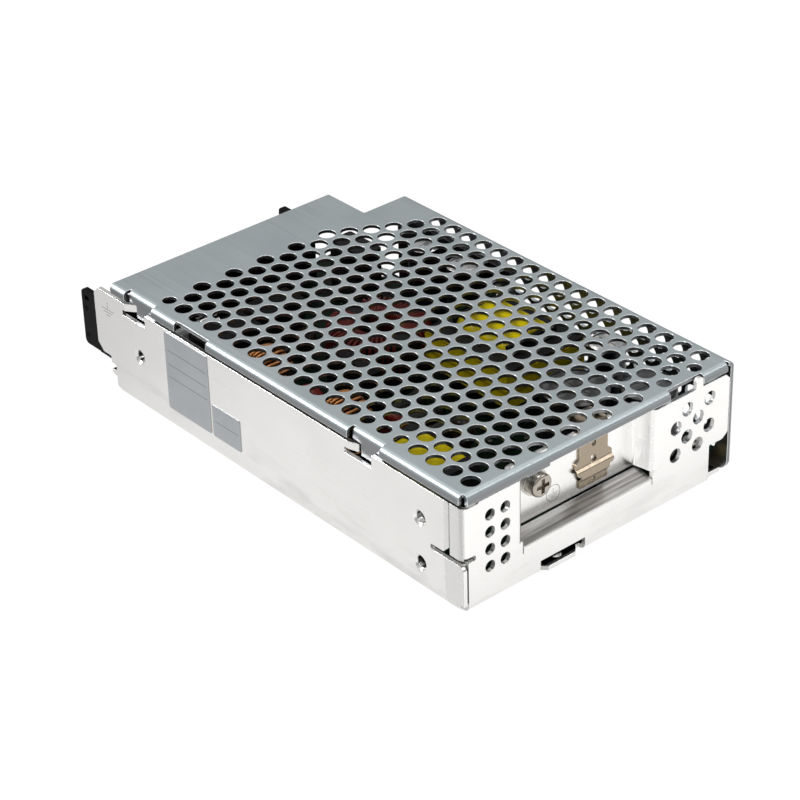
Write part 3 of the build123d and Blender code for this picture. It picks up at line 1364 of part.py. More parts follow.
def make_line_chokes():
    """Two upright ring chokes, each with two copper windings and a base plate."""
    cores, windings, bases = [], [], []
    for d, y in CHOKE_AT:
        middle_z = BOARD_TOP + CHOKE_BASE + CHOKE_WIRE + CHOKE_D / 2
        at = Pos(along(d), y, middle_z) * Rot(90, 0, 0) * Rot(0, 0, 90)
        cores.append(at * ring_body(CHOKE_D, CHOKE_BORE, CHOKE_T, CORE_EDGE_R))
        arcs = wound_arcs(CHOKE_D, CHOKE_BORE, CHOKE_T, CHOKE_WIRE, CHOKE_GAP)
        windings += [at * arc for arc in arcs]
        half = CHOKE_D / 2
        base_top = BOARD_TOP + CHOKE_BASE + CHOKE_WIRE
        base = slab(d - half, d + half, y - CHOKE_T, y + CHOKE_T, BOARD_TOP, base_top)
        seat_d = CHOKE_D + 2 * CHOKE_WIRE + 2 * WINDING_GAP
        seat_half = CHOKE_T / 2 + CHOKE_WIRE + WINDING_GAP
        base -= pin_y(d, y - seat_half, y + seat_half, middle_z, seat_d)
        bases.append(base)
    return cores, windings, bases


# Capacitors and small parts


def can(d, y, diameter, shortfall):
    """Electrolytic can standing on the board: rounded shoulder, rolled groove near the foot, scored top."""
    r = diameter / 2
    low, high = BOARD_TOP, ROOM_TOP - shortfall
    points = [
        (0, low),
        (r - CAN_FOOT[0], low),
        (r, low + CAN_FOOT[1]),
        (r, low + CAN_GROOVE_Z[0]),
        (r - CAN_CRIMP, low + CAN_GROOVE_Z[1]),
        (r, low + CAN_GROOVE_Z[2]),
        (r, high - CAN_SHOULDER),
        (r - CAN_SHOULDER, high),
        (r - CAN_SLEEVE_LIP, high),
        (r - CAN_SLEEVE_LIP, high - CAN_TOP_STEP),
        (0, high - CAN_TOP_STEP),
    ]
    half = Plane.XZ * make_face(Polyline(*points, close=True))
    body = revolve(half, Axis.Z, 360)
    long, thin = diameter * CAN_SCORE_SHARE, CAN_SCORE
    score = Box(long, thin, thin) + Box(thin, long, thin)
    return Pos(along(d), y, 0) * (body - Pos(0, 0, high - CAN_TOP_STEP) * score)


def disc_part(d, y, diameter, thickness, lift):
    """Dipped disc standing on two leads."""
    centre_z = BOARD_TOP + lift + diameter / 2
    disc = pin_y(d, y - thickness / 2, y + thickness / 2, centre_z, diameter)
    disc = fillet(disc.edges().filter_by(GeomType.CIRCLE), thickness * DISC_EDGE_SHARE)
    for side in (-1, 1):
        disc += pin_z(d + side * diameter * DISC_LEG_SHARE, y, BOARD_TOP, centre_z, DISC_LEAD)
    return disc


def box_part(d, y, length, width, height):
    """Moulded box standing on the board."""
    body = slab(d - length / 2, d + length / 2, y - width / 2, y + width / 2, BOARD_TOP, BOARD_TOP + height)
    return fillet(body.edges().filter_by(Axis.Z), BOX_R)


def fuse_place():
    """Distance and Y of the fuse's middle."""
    near_post = min(y for d, y in standoff_places())
    return LENGTH - FUSE_SETBACK, near_post + FUSE_STEP


def near_film_cap_place():
    """Distance and Y of the near film capacitor, midway between the line choke and the fuse."""
    choke_edge = CHOKE_AT[0][0] + CHOKE_D / 2
    clip_edge = fuse_place()[0] - FUSE_D / 2 - FUSE_CLIP_T
    return (choke_edge + clip_edge) / 2, NEAR_FILM_CAP_Y


def side_film_cap_place():
    """Middle of the tall film capacitor beside the adjuster and its light."""
    d, y = adjuster_place()
    return d - SIDE_FILM_CAP_STEP, y - SIDE_FILM_CAP_STEP


def output_cans():
    """The small cans along the heatsink as place, diameter and drop under the headroom."""
    cans = []
    for d, diameter in OUTPUT_CANS:
        cans.append((d, SINK_FACE - OUTPUT_CAN_GAP - diameter / 2, diameter, OUTPUT_CAN_DROP))
    return cans


def bulk_cans():
    """The two large cans as place, diameter and drop under the headroom."""
    far_post = max(y for d, y in standoff_places())
    second_y = (LARGE_CAN_AT[1] + far_post) / 2 + SECOND_CAN_STEP
    second = (SECOND_CAN_INSET, second_y, SECOND_CAN_D, SECOND_CAN_DROP)
    return [(*LARGE_CAN_AT, LARGE_CAN_D, 0), second]


def make_fuse():
    """Glass fuse with metal caps, and the two clips that hold it over the board."""
    d, y = fuse_place()
    centre_z = BOARD_TOP + FUSE_LIFT + FUSE_D / 2
    half = FUSE_LENGTH / 2
    fuse = pin_y(d, y - half, y + half, centre_z, FUSE_D)
    tube = pin_y(d, y - half + FUSE_CAP, y + half - FUSE_CAP, centre_z, FUSE_D + 1)
    fuse -= tube - pin_y(d, y - half, y + half, centre_z, FUSE_D - 2 * FUSE_WAIST)
    clips = []
    for side in (-1, 1):
        clip_y = y + side * (half - FUSE_CAP / 2)
        outer = FUSE_D / 2 + FUSE_CLIP_T
        near, far = clip_y - FUSE_CLIP_WIDTH / 2, clip_y + FUSE_CLIP_WIDTH / 2
        clip = slab(d - outer, d + outer, near, far, BOARD_TOP, centre_z + FUSE_D * FUSE_CLIP_GRIP)
        clip -= pin_y(d, near - OVERCUT, far + OVERCUT, centre_z, FUSE_D)
        slot = FUSE_D / 2 - FUSE_CLIP_T
        clip -= slab(d - slot, d + slot, near - OVERCUT, far + OVERCUT, centre_z, HEIGHT)
        inner = FUSE_D / 2
        low, high = BOARD_TOP + FUSE_CLIP_T, centre_z - FUSE_D / 2 - FUSE_CLIP_T
        clip -= slab(d - inner, d + inner, near - OVERCUT, far + OVERCUT, low, high)
        clips.append(clip)
    return fuse, clips


def make_bridge():
    """Upright bridge rectifier on four leads."""
    d, y = BRIDGE_AT
    length, width, height = BRIDGE_SIZE
    low = BOARD_TOP + BRIDGE_LIFT
    body = slab(d - length / 2, d + length / 2, y - width / 2, y + width / 2, low, low + height)
    body = chamfer(body.edges().filter_by(Axis.Y), BRIDGE_CHAMFER)
    half, thin = BRIDGE_LEAD[0] / 2, BRIDGE_LEAD[1] / 2
    for step in range(BRIDGE_LEADS):
        lead_d = d - length / 2 + length * (step + 0.5) / BRIDGE_LEADS
        body += slab(lead_d - half, lead_d + half, y - thin, y + thin, BOARD_TOP, low + OVERCUT)
    return body


def make_heatsink():
    """Upright aluminium plate along the far edge of the board, with two diode packages on its near face."""
    face = SINK_FACE
    top = ROOM_TOP - SINK_DROP
    plate = slab(SINK_START, LENGTH - SINK_SETBACK, face, face + SINK_T, BOARD_TOP, top)
    length, width, height = DIODE_SIZE
    diodes, screws = [], []
    low = BOARD_TOP + DIODE_LIFT
    tab_t = width * DIODE_TAB
    for d in DIODES_AT:
        body = slab(d - length / 2, d + length / 2, face - width, face, low, low + height * DIODE_MOULDED)
        body += slab(d - length / 2, d + length / 2, face - tab_t, face, low, low + height)
        lead_y = face - width / 2
        for step in (-1, 0, 1):
            left = d + step * DIODE_LEAD_PITCH - LEAD_T / 2
            body += slab(left, left + LEAD_T, lead_y, lead_y + LEAD_T, BOARD_TOP, low + OVERCUT)
        hole_z = low + height * DIODE_HOLE
        body -= pin_y(d, face - width, face, hole_z, SINK_SCREW_D + 2 * SCREW_CLEARANCE)
        diodes.append(body)
        plate -= pin_y(d, face - OVERCUT, face + SINK_T + OVERCUT, hole_z, SINK_SCREW_D)
        seat = face - tab_t
        screw = pin_y(d, seat - SINK_SCREW_HEAD, seat, hole_z, SINK_SCREW_HEAD_D)
        screw += pin_y(d, seat, face + SINK_T, hole_z, SINK_SCREW_D)
        slot = SINK_SCREW_SLOT / 2
        out = seat - SINK_SCREW_HEAD
        screw -= slab(d - HEIGHT, d + HEIGHT, out - OVERCUT, out + slot, hole_z - slot, hole_z + slot)
        screws.append(screw)
    return plate, diodes, screws


def make_daughter_board():
    """Small upright control board with its chips."""
    d = DAUGHTER_AT
    thickness, width, height = DAUGHTER_SIZE
    y = SINK_FACE - DIODE_SIZE[1] - DAUGHTER_GAP - width / 2
    top = BOARD_TOP + height
    board = slab(d - thickness / 2, d + thickness / 2, y - width / 2, y + width / 2, BOARD_TOP, top)
    chips = []
    length, across, tall = CHIP_SIZE
    for y_step, z_step in CHIP_STEPS:
        face = d - thickness / 2
        near, far = y + y_step - length / 2, y + y_step + length / 2
        low, high = BOARD_TOP + z_step - across / 2, BOARD_TOP + z_step + across / 2
        chip = slab(face - tall, face, near, far, low, high)
        chips.append(chamfer(chip.faces().sort_by(Axis.X)[-1].edges(), CHIP_CHAMFER))
    return board, chips


def make_resistors():
    """Power resistors lying on the board."""
    parts = []
    for d, y in RESISTORS_AT:
        centre_z = BOARD_TOP + RESISTOR_LIFT + RESISTOR_D / 2
        half = RESISTOR_LENGTH / 2
        body = pin_y(d, y - half, y + half, centre_z, RESISTOR_D)
        body = fillet(body.edges().filter_by(GeomType.CIRCLE), RESISTOR_R)
        waist = half * RESISTOR_WAIST_SHARE
        band = pin_y(d, y - waist, y + waist, centre_z, RESISTOR_D + OVERCUT)
        body -= band - pin_y(d, y - half, y + half, centre_z, RESISTOR_D - 2 * RESISTOR_WAIST)
        for side in (-1, 1):
            end = y + side * half
            tip = end + side * RESISTOR_LEG
            body += pin_y(d, end - side * RESISTOR_ROOT, tip, centre_z, DISC_LEAD)
            body += pin_z(d, tip, BOARD_TOP, centre_z + DISC_LEAD / 2, DISC_LEAD)
        parts.append(body)
    return parts


# Output adjuster and indicator


def adjuster_place():
    """Distance and Y of the adjuster's turning axis."""
    return LENGTH - ADJUSTER_SETBACK, FAR_IN - ADJUSTER_EDGE


def make_adjuster():
    """Box body of the adjuster and the slotted rotor that turns in its bore."""
    d, y = adjuster_place()
    body = box_part(d, y, ADJUSTER_SIDE, ADJUSTER_SIDE, ADJUSTER_HEIGHT)
    top = BOARD_TOP + ADJUSTER_HEIGHT
    seat = top - ROTOR_DEPTH
    body -= pin_z(d, y, seat, top + OVERCUT, ROTOR_D + 2 * ROTOR_GAP)
    rotor = pin_z(d, y, seat, top + ROTOR_PROUD, ROTOR_D)
    half = ROTOR_D / 2
    slot_foot = top + ROTOR_PROUD - ROTOR_SLOT_DEPTH
    thin, short = ROTOR_SLOT / 2, half * ROTOR_CROSS_SHARE
    rotor -= slab(d - half, d + half, y - thin, y + thin, slot_foot, HEIGHT)
    rotor -= slab(d - thin, d + thin, y - short, y + short, slot_foot, HEIGHT)
    return body, rotor


def make_light():
    """Round indicator light with its rim and rounded tip."""
    d = LENGTH - ADJUSTER_SETBACK
    y = FAR_IN - LIGHT_EDGE
    top = BOARD_TOP + LIGHT_HEIGHT
    light = pin_z(d, y, BOARD_TOP, top - LIGHT_D / 2, LIGHT_D)
    light += Pos(along(d), y, top - LIGHT_D / 2) * Sphere(LIGHT_D / 2)
    return light + pin_z(d, y, BOARD_TOP, BOARD_TOP + LIGHT_RIM, LIGHT_RIM_D)


def write(name, shape):
    """Write one node as its own STEP file, a list as a group of separate solids."""
    solids = []
    for item in shape if isinstance(shape, list) else [shape]:
        solids += item.solids()
    node = solids[0] if len(solids) == 1 else Compound(children=solids)
    node.label = name
    export_step(node, "parts/" + name + ".step")


def main():
    """Build every piece and write it."""
    os.makedirs("parts", exist_ok=True)
    write("chassis", make_chassis())
    write("cover", make_cover())
    write("cover_screws", make_cover_screws())
    earth_screw, earth_spring, earth_flat = earth_stack()
    write("earth_screw", earth_screw)
    write("earth_spring_washer", earth_spring)
    write("earth_flat_washer", earth_flat)
    write("spring_clip", make_spring_clip())
    write("thermal_pad", make_thermal_pad())
    write("clamped_transistor", make_clamped_transistor())
    write("large_label", make_label(LARGE_LABEL_SETBACKS, NEAR_WALL_TOP - LARGE_LABEL_DROP))
    write("small_label", make_label(SMALL_LABEL_SETBACKS, SMALL_LABEL_TOP))
    write("circuit_board", make_board())
    write("insulating_film", make_film())
    write("board_standoffs", make_standoffs())
    write("board_screws", make_board_screws())
    write("terminal_block", make_terminal_block())
    write("terminal_contacts", make_terminal_contacts())
    write("terminal_washers", make_terminal_washers())
    write("terminal_screws", make_terminal_screws())
    frame, bobbin, winding, belt = make_transformer()
    write("transformer_core", frame)
    write("transformer_bobbin", bobbin)
    write("transformer_winding", winding)
    write("transformer_tape", belt)
    caps, taped = make_taped_coil()
    write("coil_caps", caps)
    write("coil_winding", taped)
    ring_core, ring_winding, ring_base = make_ring_choke()
    write("ring_choke_core", ring_core)
    write("ring_choke_winding", ring_winding)
    write("ring_choke_base", ring_base)
    choke_cores, choke_windings, choke_bases = make_line_chokes()
    write("line_choke_cores", choke_cores)
    write("line_choke_windings", choke_windings)
    write("line_choke_bases", choke_bases)
    write("bulk_capacitors", [can(*place) for place in bulk_cans()])
    write("output_capacitors", [can(*place) for place in output_cans()])
    near_cap = box_part(*near_film_cap_place(), *NEAR_FILM_CAP)
    far_cap = box_part(*FAR_FILM_CAP_AT, *FAR_FILM_CAP)
    side_cap = box_part(*side_film_cap_place(), *SIDE_FILM_CAP)
    write("film_capacitors", [near_cap, far_cap, side_cap])
    write("disc_capacitors", [disc_part(d, y, DISC_D, DISC_T, DISC_LIFT) for d, y in DISC_CAPS])
    write("varistor", disc_part(*VARISTOR_AT, VARISTOR_D, VARISTOR_T, DISC_LIFT))
    write("thermistor", disc_part(*THERMISTOR_AT, THERMISTOR_D, THERMISTOR_T, DISC_LIFT))
    fuse, fuse_clips = make_fuse()
    write("fuse", fuse)
    write("fuse_clips", fuse_clips)
    write("bridge_rectifier", make_bridge())
    plate, diodes, sink_screws = make_heatsink()
    write("heatsink", plate)
    write("output_diodes", diodes)
    write("heatsink_screws", sink_screws)
    daughter, chips = make_daughter_board()
    write("control_board", daughter)
    write("control_chips", chips)
    write("optocouplers", [box_part(d, y, *OPTO_SIZE) for d, y in OPTO_AT])
    write("power_resistors", make_resistors())
    adjuster, rotor = make_adjuster()
    write("adjuster_body", adjuster)
    write("adjuster_rotor", rotor)
    write("indicator_light", make_light())


main()
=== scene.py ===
# %% [markdown]
# The looks of a mesh case power supply.
# The real object is a folded bright tray with a pierced grey lid, and a crowded circuit board that shows
# through the lid's holes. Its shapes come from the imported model, so this script is about surfaces: what each
# metal, moulding and wire looks like, the turns of the coils, the marks on the sheet, and the light.

from math import radians, tau

import bpy
import numpy as np
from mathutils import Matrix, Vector


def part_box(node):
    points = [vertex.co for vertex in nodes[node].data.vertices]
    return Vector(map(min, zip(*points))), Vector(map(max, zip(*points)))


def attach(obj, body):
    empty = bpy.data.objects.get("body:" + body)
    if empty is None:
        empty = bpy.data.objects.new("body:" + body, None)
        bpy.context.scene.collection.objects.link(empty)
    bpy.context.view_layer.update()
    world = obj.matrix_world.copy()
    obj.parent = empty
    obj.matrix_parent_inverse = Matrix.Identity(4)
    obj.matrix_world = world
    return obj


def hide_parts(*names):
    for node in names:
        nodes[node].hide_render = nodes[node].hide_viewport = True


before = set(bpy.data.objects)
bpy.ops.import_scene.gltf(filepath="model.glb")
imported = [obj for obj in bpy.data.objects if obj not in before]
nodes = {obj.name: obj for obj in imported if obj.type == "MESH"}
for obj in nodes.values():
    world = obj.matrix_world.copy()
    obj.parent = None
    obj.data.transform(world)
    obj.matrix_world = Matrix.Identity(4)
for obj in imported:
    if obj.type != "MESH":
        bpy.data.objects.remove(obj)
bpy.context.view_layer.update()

# %% [markdown]
# Every size below is in metres. A millimetre is the natural unit of sheet metal, so one name stands for it,
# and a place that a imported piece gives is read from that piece's box.

# %% Units and the boxes of the case
MM = 0.001


def corners(node):
    """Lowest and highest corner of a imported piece, as two arrays."""
    low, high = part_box(node)
    return np.array(low), np.array(high)


case_low, case_high = corners("chassis")
cover_high = corners("cover")[1]
print("case from", case_low.round(4), "to", cover_high.round(4))

# %% [markdown]
# A shader is a tree of small machines, nodes, whose sockets hold a value or a link. A group is such a tree
# that many materials share. One helper adds a node and fills its sockets; the others are built on it, for
# the steps that come back again and again, and keep the recipes below short enough to read as recipes.

# %% Helpers for node trees


def add_node(tree, kind, inputs=None, **settings):
    """Add one node to a tree, set its options, then link or set its inputs by name or number."""
    node = tree.nodes.new(kind)
    for name, value in settings.items():
        setattr(node, name, value)
    for key, value in (inputs or {}).items():
        if isinstance(value, bpy.types.NodeSocket):
            tree.links.new(value, node.inputs[key])
        else:
            node.inputs[key].default_value = value
    return node


def new_group(name, inputs, outputs):
    """Make an empty shader group. Inputs are (name, kind, default) and outputs are (name, kind)."""
    group = bpy.data.node_groups.new(name, "ShaderNodeTree")
    for label, kind, default in inputs:
        socket = group.interface.new_socket(label, in_out="INPUT", socket_type="NodeSocket" + kind)
        socket.default_value = default
    for label, kind in outputs:
        group.interface.new_socket(label, in_out="OUTPUT", socket_type="NodeSocket" + kind)
    entry = group.nodes.new("NodeGroupInput")
    leave = group.nodes.new("NodeGroupOutput")
    return group, entry, leave


def fill_group(tree, group, inputs):
    """Use a finished group with its own values or links."""
    return add_node(tree, "ShaderNodeGroup", inputs, node_tree=group)


def coordinate(tree, kind):
    """One usual coordinate: Object is a place in metres, Normal the direction that a surface faces."""
    return tree.nodes.new("ShaderNodeTexCoord").outputs[kind]


def split(tree, vector):
    """The X, Y and Z of a vector."""
    parts = add_node(tree, "ShaderNodeSeparateXYZ", {0: vector})
    return [parts.outputs[name] for name in "XYZ"]


def noise(tree, place, detail, scale=1.0):
    """Smooth noise that swings around one half."""
    inputs = {"Vector": place, "Scale": scale, "Detail": detail}
    return add_node(tree, "ShaderNodeTexNoise", inputs).outputs["Fac"]


def squeeze(tree, place, scale, turn=(0.0, 0.0, 0.0)):
    """Place turned and scaled by axis: noise read there is drawn out along the axis with the least scale."""
    inputs = {"Vector": place, "Rotation": turn, "Scale": scale}
    return add_node(tree, "ShaderNodeMapping", inputs).outputs["Vector"]


# %% [markdown]
# Masks are numbers from 0 to 1 that say where a finish is. They come from comparing a value with a range,
# they join by arithmetic, and a Mix node uses them to choose between two numbers or two colours.

# %% Helpers for masks and blends
SOFT_BORDER = 0.02 * MM


def mix_values(tree, factor, first, second):
    """first x (1 - factor) + second x factor; the Mix node takes numbers at its sockets 2 and 3."""
    return add_node(tree, "ShaderNodeMix", {0: factor, 2: first, 3: second}).outputs[0]


def mix_colors(tree, factor, first, second):
    """first x (1 - factor) + second x factor; the Mix node takes colours at its sockets 6 and 7."""
    inputs = {0: factor, 6: first, 7: second}
    return add_node(tree, "ShaderNodeMix", inputs, data_type="RGBA").outputs[2]


def remap(tree, value, low, high, new_low, new_high):
    """Stretch a value from one range into another, clamped."""
    inputs = {"Value": value, "From Min": low, "From Max": high, "To Min": new_low, "To Max": new_high}
    return add_node(tree, "ShaderNodeMapRange", inputs).outputs["Result"]


def calculate(tree, operation, first, second=0.0):
    """One arithmetic step on two values or sockets."""
    return add_node(tree, "ShaderNodeMath", {0: first, 1: second}, operation=operation).outputs[0]


def band(tree, value, middle, half):
    """1 where a value is within half of middle, 0 elsewhere."""
    away = calculate(tree, "ABSOLUTE", calculate(tree, "SUBTRACT", value, middle))
    return remap(tree, away, half, half + SOFT_BORDER, 1.0, 0.0)


# %% [markdown]
# Cut and folded sheet is painted lighter along its edges, a painted highlight where a rounded edge catches the
# light.
# A shader can find such edges without any modelling: it compares the true normal with one that is rounded
# over a small radius. Where the two disagree there is an edge. The mesh stays as it was imported.

# %% Group: edges for a painted highlight
ROUNDING_SAMPLES = 6


def build_edge_group():
    """Edge mask: (1 - dot product of the rounded and the true normal) x sharpness, held at 1."""
    inputs = [("Radius", "Float", 0.3 * MM), ("Sharpness", "Float", 6.0)]
    group, entry, leave = new_group("edge_finder", inputs, [("Edge", "Float"), ("Normal", "Vector")])
    bevel = add_node(group, "ShaderNodeBevel", {"Radius": entry.outputs["Radius"]}, samples=ROUNDING_SAMPLES)
    rounded = bevel.outputs["Normal"]
    sharp = group.nodes.new("ShaderNodeNewGeometry").outputs["True Normal"]
    dot = add_node(group, "ShaderNodeVectorMath", {0: rounded, 1: sharp}, operation="DOT_PRODUCT")
    factors = {0: calculate(group, "SUBTRACT", 1.0, dot.outputs["Value"]), 1: entry.outputs["Sharpness"]}
    edge = add_node(group, "ShaderNodeMath", factors, operation="MULTIPLY", use_clamp=True)
    group.links.new(edge.outputs[0], leave.inputs["Edge"])
    group.links.new(rounded, leave.inputs["Normal"])
    return group


EDGES = build_edge_group()
print("group:", EDGES.name, "with", len(EDGES.nodes), "nodes")

# %% [markdown]
# Rolled sheet carries faint streaks along the rolling direction and a cloudy unevenness from its coating.
# Both are noise: stretched out of shape for the streaks, and left round and large for the clouds. Scratches
# are the peaks of a third noise, stretched along a slant.

# %% Group: rolled sheet
SCRATCH_TURN = (0.7, 0.5, 0.9)
SCRATCH_SCALE = (12.0, 380.0, 380.0)
SCRATCH_PEAK = (0.69, 0.74)


def build_rolled_group():
    """Streaks from squeezed noise, clouds from broad noise, scratches from the peaks of slanted noise."""
    inputs = [("Streak Scale", "Vector", (40.0, 2500.0, 2500.0)), ("Cloud Scale", "Float", 45.0)]
    outputs = [("Streak", "Float"), ("Cloud", "Float"), ("Scratch", "Float")]
    group, entry, leave = new_group("rolled_sheet", inputs, outputs)
    place = coordinate(group, "Object")
    slanted = noise(group, squeeze(group, place, SCRATCH_SCALE, SCRATCH_TURN), detail=2.0)
    values = {
        "Streak": noise(group, squeeze(group, place, entry.outputs["Streak Scale"]), detail=3.0),
        "Cloud": noise(group, place, detail=4.0, scale=entry.outputs["Cloud Scale"]),
        "Scratch": remap(group, slanted, *SCRATCH_PEAK, 0.0, 1.0),
    }
    for label, value in values.items():
        group.links.new(value, leave.inputs[label])
    return group


ROLLED = build_rolled_group()
print("group:", ROLLED.name, "with", len(ROLLED.nodes), "nodes")

# %% [markdown]
# Mouldings, ferrite and dipped parts are matt or glossy skins with a slight unevenness. One group gives
# them all a fine grain for the bump and a soft blotch for the colour.

# %% Group: moulded skin


def build_skin_group():
    """Fine grain and soft blotches, two sizes of the same noise."""
    inputs = [("Grain Scale", "Float", 2500.0), ("Blotch Scale", "Float", 180.0)]
    group, entry, leave = new_group("moulded_skin", inputs, [("Grain", "Float"), ("Blotch", "Float")])
    place = coordinate(group, "Object")
    for label in ("Grain", "Blotch"):
        value = noise(group, place, detail=3.0, scale=entry.outputs[label + " Scale"])
        group.links.new(value, leave.inputs[label])
    return group


SKIN = build_skin_group()
print("group:", SKIN.name, "with", len(SKIN.nodes), "nodes")

# %% [markdown]
# A material is one Principled shader and whatever feeds it. Its plain values could come through nodes too,
# but a value on the shader's own socket is easier to find and to change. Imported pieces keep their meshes,
# so giving one its finish means emptying its material list and putting one material in.

# %% Helpers for materials
NOISE_SWING = (0.3, 0.7)
FINE_GRAIN = 0.01 * MM


def start_material(name, metallic=0.0, roughness=0.5, coat=0.0, specular=0.5):
    """New material with its shader, plain values set on the shader's own sockets."""
    material = bpy.data.materials.new(name)
    material.use_nodes = True
    tree = material.node_tree
    shader = tree.nodes["Principled BSDF"]
    shader.inputs["Metallic"].default_value = metallic
    shader.inputs["Roughness"].default_value = roughness
    shader.inputs["Coat Weight"].default_value = coat
    shader.inputs["Specular IOR Level"].default_value = specular
    return material, tree, shader


def shaded(color, share, lift=0.0):
    """Plain colour with each channel at share x channel + lift, at most 1."""
    return tuple(min(1.0, share * channel + lift) for channel in color[:3]) + (1,)


def vary_roughness(tree, shader, value, roughness, less, more):
    """Roughness from roughness - less to roughness + more, as a noise swings."""
    varied = remap(tree, value, *NOISE_SWING, roughness - less, roughness + more)
    tree.links.new(varied, shader.inputs["Roughness"])


def bump_from(tree, shader, height, distance, strength=1.0, normal=None):
    """Raise the surface by a height value, over an optional normal."""
    inputs = {"Height": height, "Distance": distance, "Strength": strength}
    if normal is not None:
        inputs["Normal"] = normal
    bump = add_node(tree, "ShaderNodeBump", inputs)
    tree.links.new(bump.outputs["Normal"], shader.inputs["Normal"])


def dress(node_names, material):
    """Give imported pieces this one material."""
    for name in node_names.split():
        mesh = nodes[name].data
        mesh.materials.clear()
        mesh.materials.append(material)
    print(material.name, "on", node_names)


# %% [markdown]
# Two earth marks are pressed into the tray: one on the ear beside the terminals, one in a ring beside the
# earth screw. A pressed mark needs no mesh of its own. Each stroke is a product of two bands, one that
# keeps it narrow and one that keeps it short, and the strokes join by taking the larger value.

# %% Strokes of an earth mark
EARTH_BARS = ((0.42, 0.66), (0.21, 0.46), (0.0, 0.23))


def stroke(tree, across, middle, half, along, start, end):
    """1 inside a straight stroke, narrow in one direction and limited in the other."""
    narrow = band(tree, across, middle, half)
    short = band(tree, along, (start + end) / 2, (end - start) / 2)
    return calculate(tree, "MULTIPLY", narrow, short)


def earth_mark(tree, across, up, middle, foot, size, thin):
    """Stem over three bars; EARTH_BARS has each bar's height and half length as shares of the size."""
    mark = stroke(tree, across, middle, thin, up, foot + EARTH_BARS[0][0] * size, foot + size)
    for share, reach in EARTH_BARS:
        half = reach * size
        bar = stroke(tree, up, foot + share * size, thin, across, middle - half, middle + half)
        mark = calculate(tree, "MAXIMUM", mark, bar)
    return mark


print("bars of an earth mark:", len(EARTH_BARS))

# %% [markdown]
# A mark is worked out from two directions only, so it would run through the whole sheet and come out on
# other faces. Each is held to its own face by one more band, across the sheet.

# %% Places of the two marks
SHEET_FACE = 0.3 * MM
EAR_MARK_IN, EAR_MARK_FOOT = 6.1 * MM, 23.4 * MM
EAR_MARK_SIZE, EAR_MARK_THIN = 4.2 * MM, 0.14 * MM
PANEL_IN = 6.0 * MM
RING_PLACE, RING_RADIUS, RING_THIN = (-11.2 * MM, 16.8 * MM), 2.3 * MM, 0.12 * MM
RING_MARK_DROP, RING_MARK_SIZE, RING_MARK_THIN = 1.2 * MM, 2.6 * MM, 0.10 * MM


def pressed_marks(tree):
    """Mask of both marks; the ring is a band of sqrt(across^2 + rise^2) around its radius."""
    x, y, z = split(tree, coordinate(tree, "Object"))
    ear_middle = float(case_low[0]) + EAR_MARK_IN
    ear = earth_mark(tree, x, z, ear_middle, EAR_MARK_FOOT, EAR_MARK_SIZE, EAR_MARK_THIN)
    on_wall = band(tree, y, float(case_low[1]), SHEET_FACE)
    ring_y, ring_z = RING_PLACE
    inner = earth_mark(tree, y, z, ring_y, ring_z - RING_MARK_DROP, RING_MARK_SIZE, RING_MARK_THIN)
    across = calculate(tree, "SUBTRACT", y, ring_y)
    rise = calculate(tree, "SUBTRACT", z, ring_z)
    squares = [calculate(tree, "MULTIPLY", side, side) for side in (across, rise)]
    ring = band(tree, calculate(tree, "SQRT", calculate(tree, "ADD", *squares)), RING_RADIUS, RING_THIN)
    on_panel = band(tree, x, float(case_high[0]) - PANEL_IN, SHEET_FACE)
    first = calculate(tree, "MULTIPLY", ear, on_wall)
    second = calculate(tree, "MULTIPLY", calculate(tree, "MAXIMUM", inner, ring), on_panel)
    return calculate(tree, "MAXIMUM", first, second)


print("ear mark", round(EAR_MARK_SIZE / MM, 1), "mm high, ring", round(2 * RING_RADIUS / MM, 1), "mm across")

# %% [markdown]
# The two sheets differ in colour, gloss and the fineness of their streaks, so one recipe makes both. The
# clouds blend two tones, scratches let a little of the edge colour through, and the roughness follows the
# streaks.

# %% Sheet metal recipe
CLOUD_SWING = (0.35, 0.65)
SCRATCH_SHARE = 0.12
STREAK_ROUGHNESS = 0.04


def sheet_metal(name, tones, edge, roughness, streak_scale):
    """Start of a sheet metal: its material and shader, its colour so far, its streaks and its edges."""
    material, tree, shader = start_material(name, metallic=1.0)
    rolled = fill_group(tree, ROLLED, {"Streak Scale": streak_scale})
    found = fill_group(tree, EDGES, {"Radius": 0.32 * MM, "Sharpness": 9.0})
    body = mix_colors(tree, remap(tree, rolled.outputs["Cloud"], *CLOUD_SWING, 0.0, 1.0), *tones)
    scratched = calculate(tree, "MULTIPLY", rolled.outputs["Scratch"], SCRATCH_SHARE)
    body = mix_colors(tree, scratched, body, edge)
    vary_roughness(tree, shader, rolled.outputs["Streak"], roughness, STREAK_ROUGHNESS, STREAK_ROUGHNESS)
    return material, tree, shader, body, rolled.outputs["Streak"], found


# %% [markdown]
# The lid is zinc-coated steel, blue-grey and satin, with white light on every cut edge, a painted highlight.
# Its upright faces, the walls and the insides of its holes, look darker than its flat top, so they are painted
# darker as painted shade, and the Z of the normal tells them.

# %% Lid
COVER_TONES = (0.42, 0.475, 0.49, 1), (0.48, 0.53, 0.545, 1)
COVER_HIGHLIGHT_AND_SCRATCH = (0.90, 0.92, 0.93, 1)
COVER_UPRIGHT_SHADE = (0.24, 0.25, 0.26, 1)
UPRIGHT_SLOPE = (0.15, 0.45)


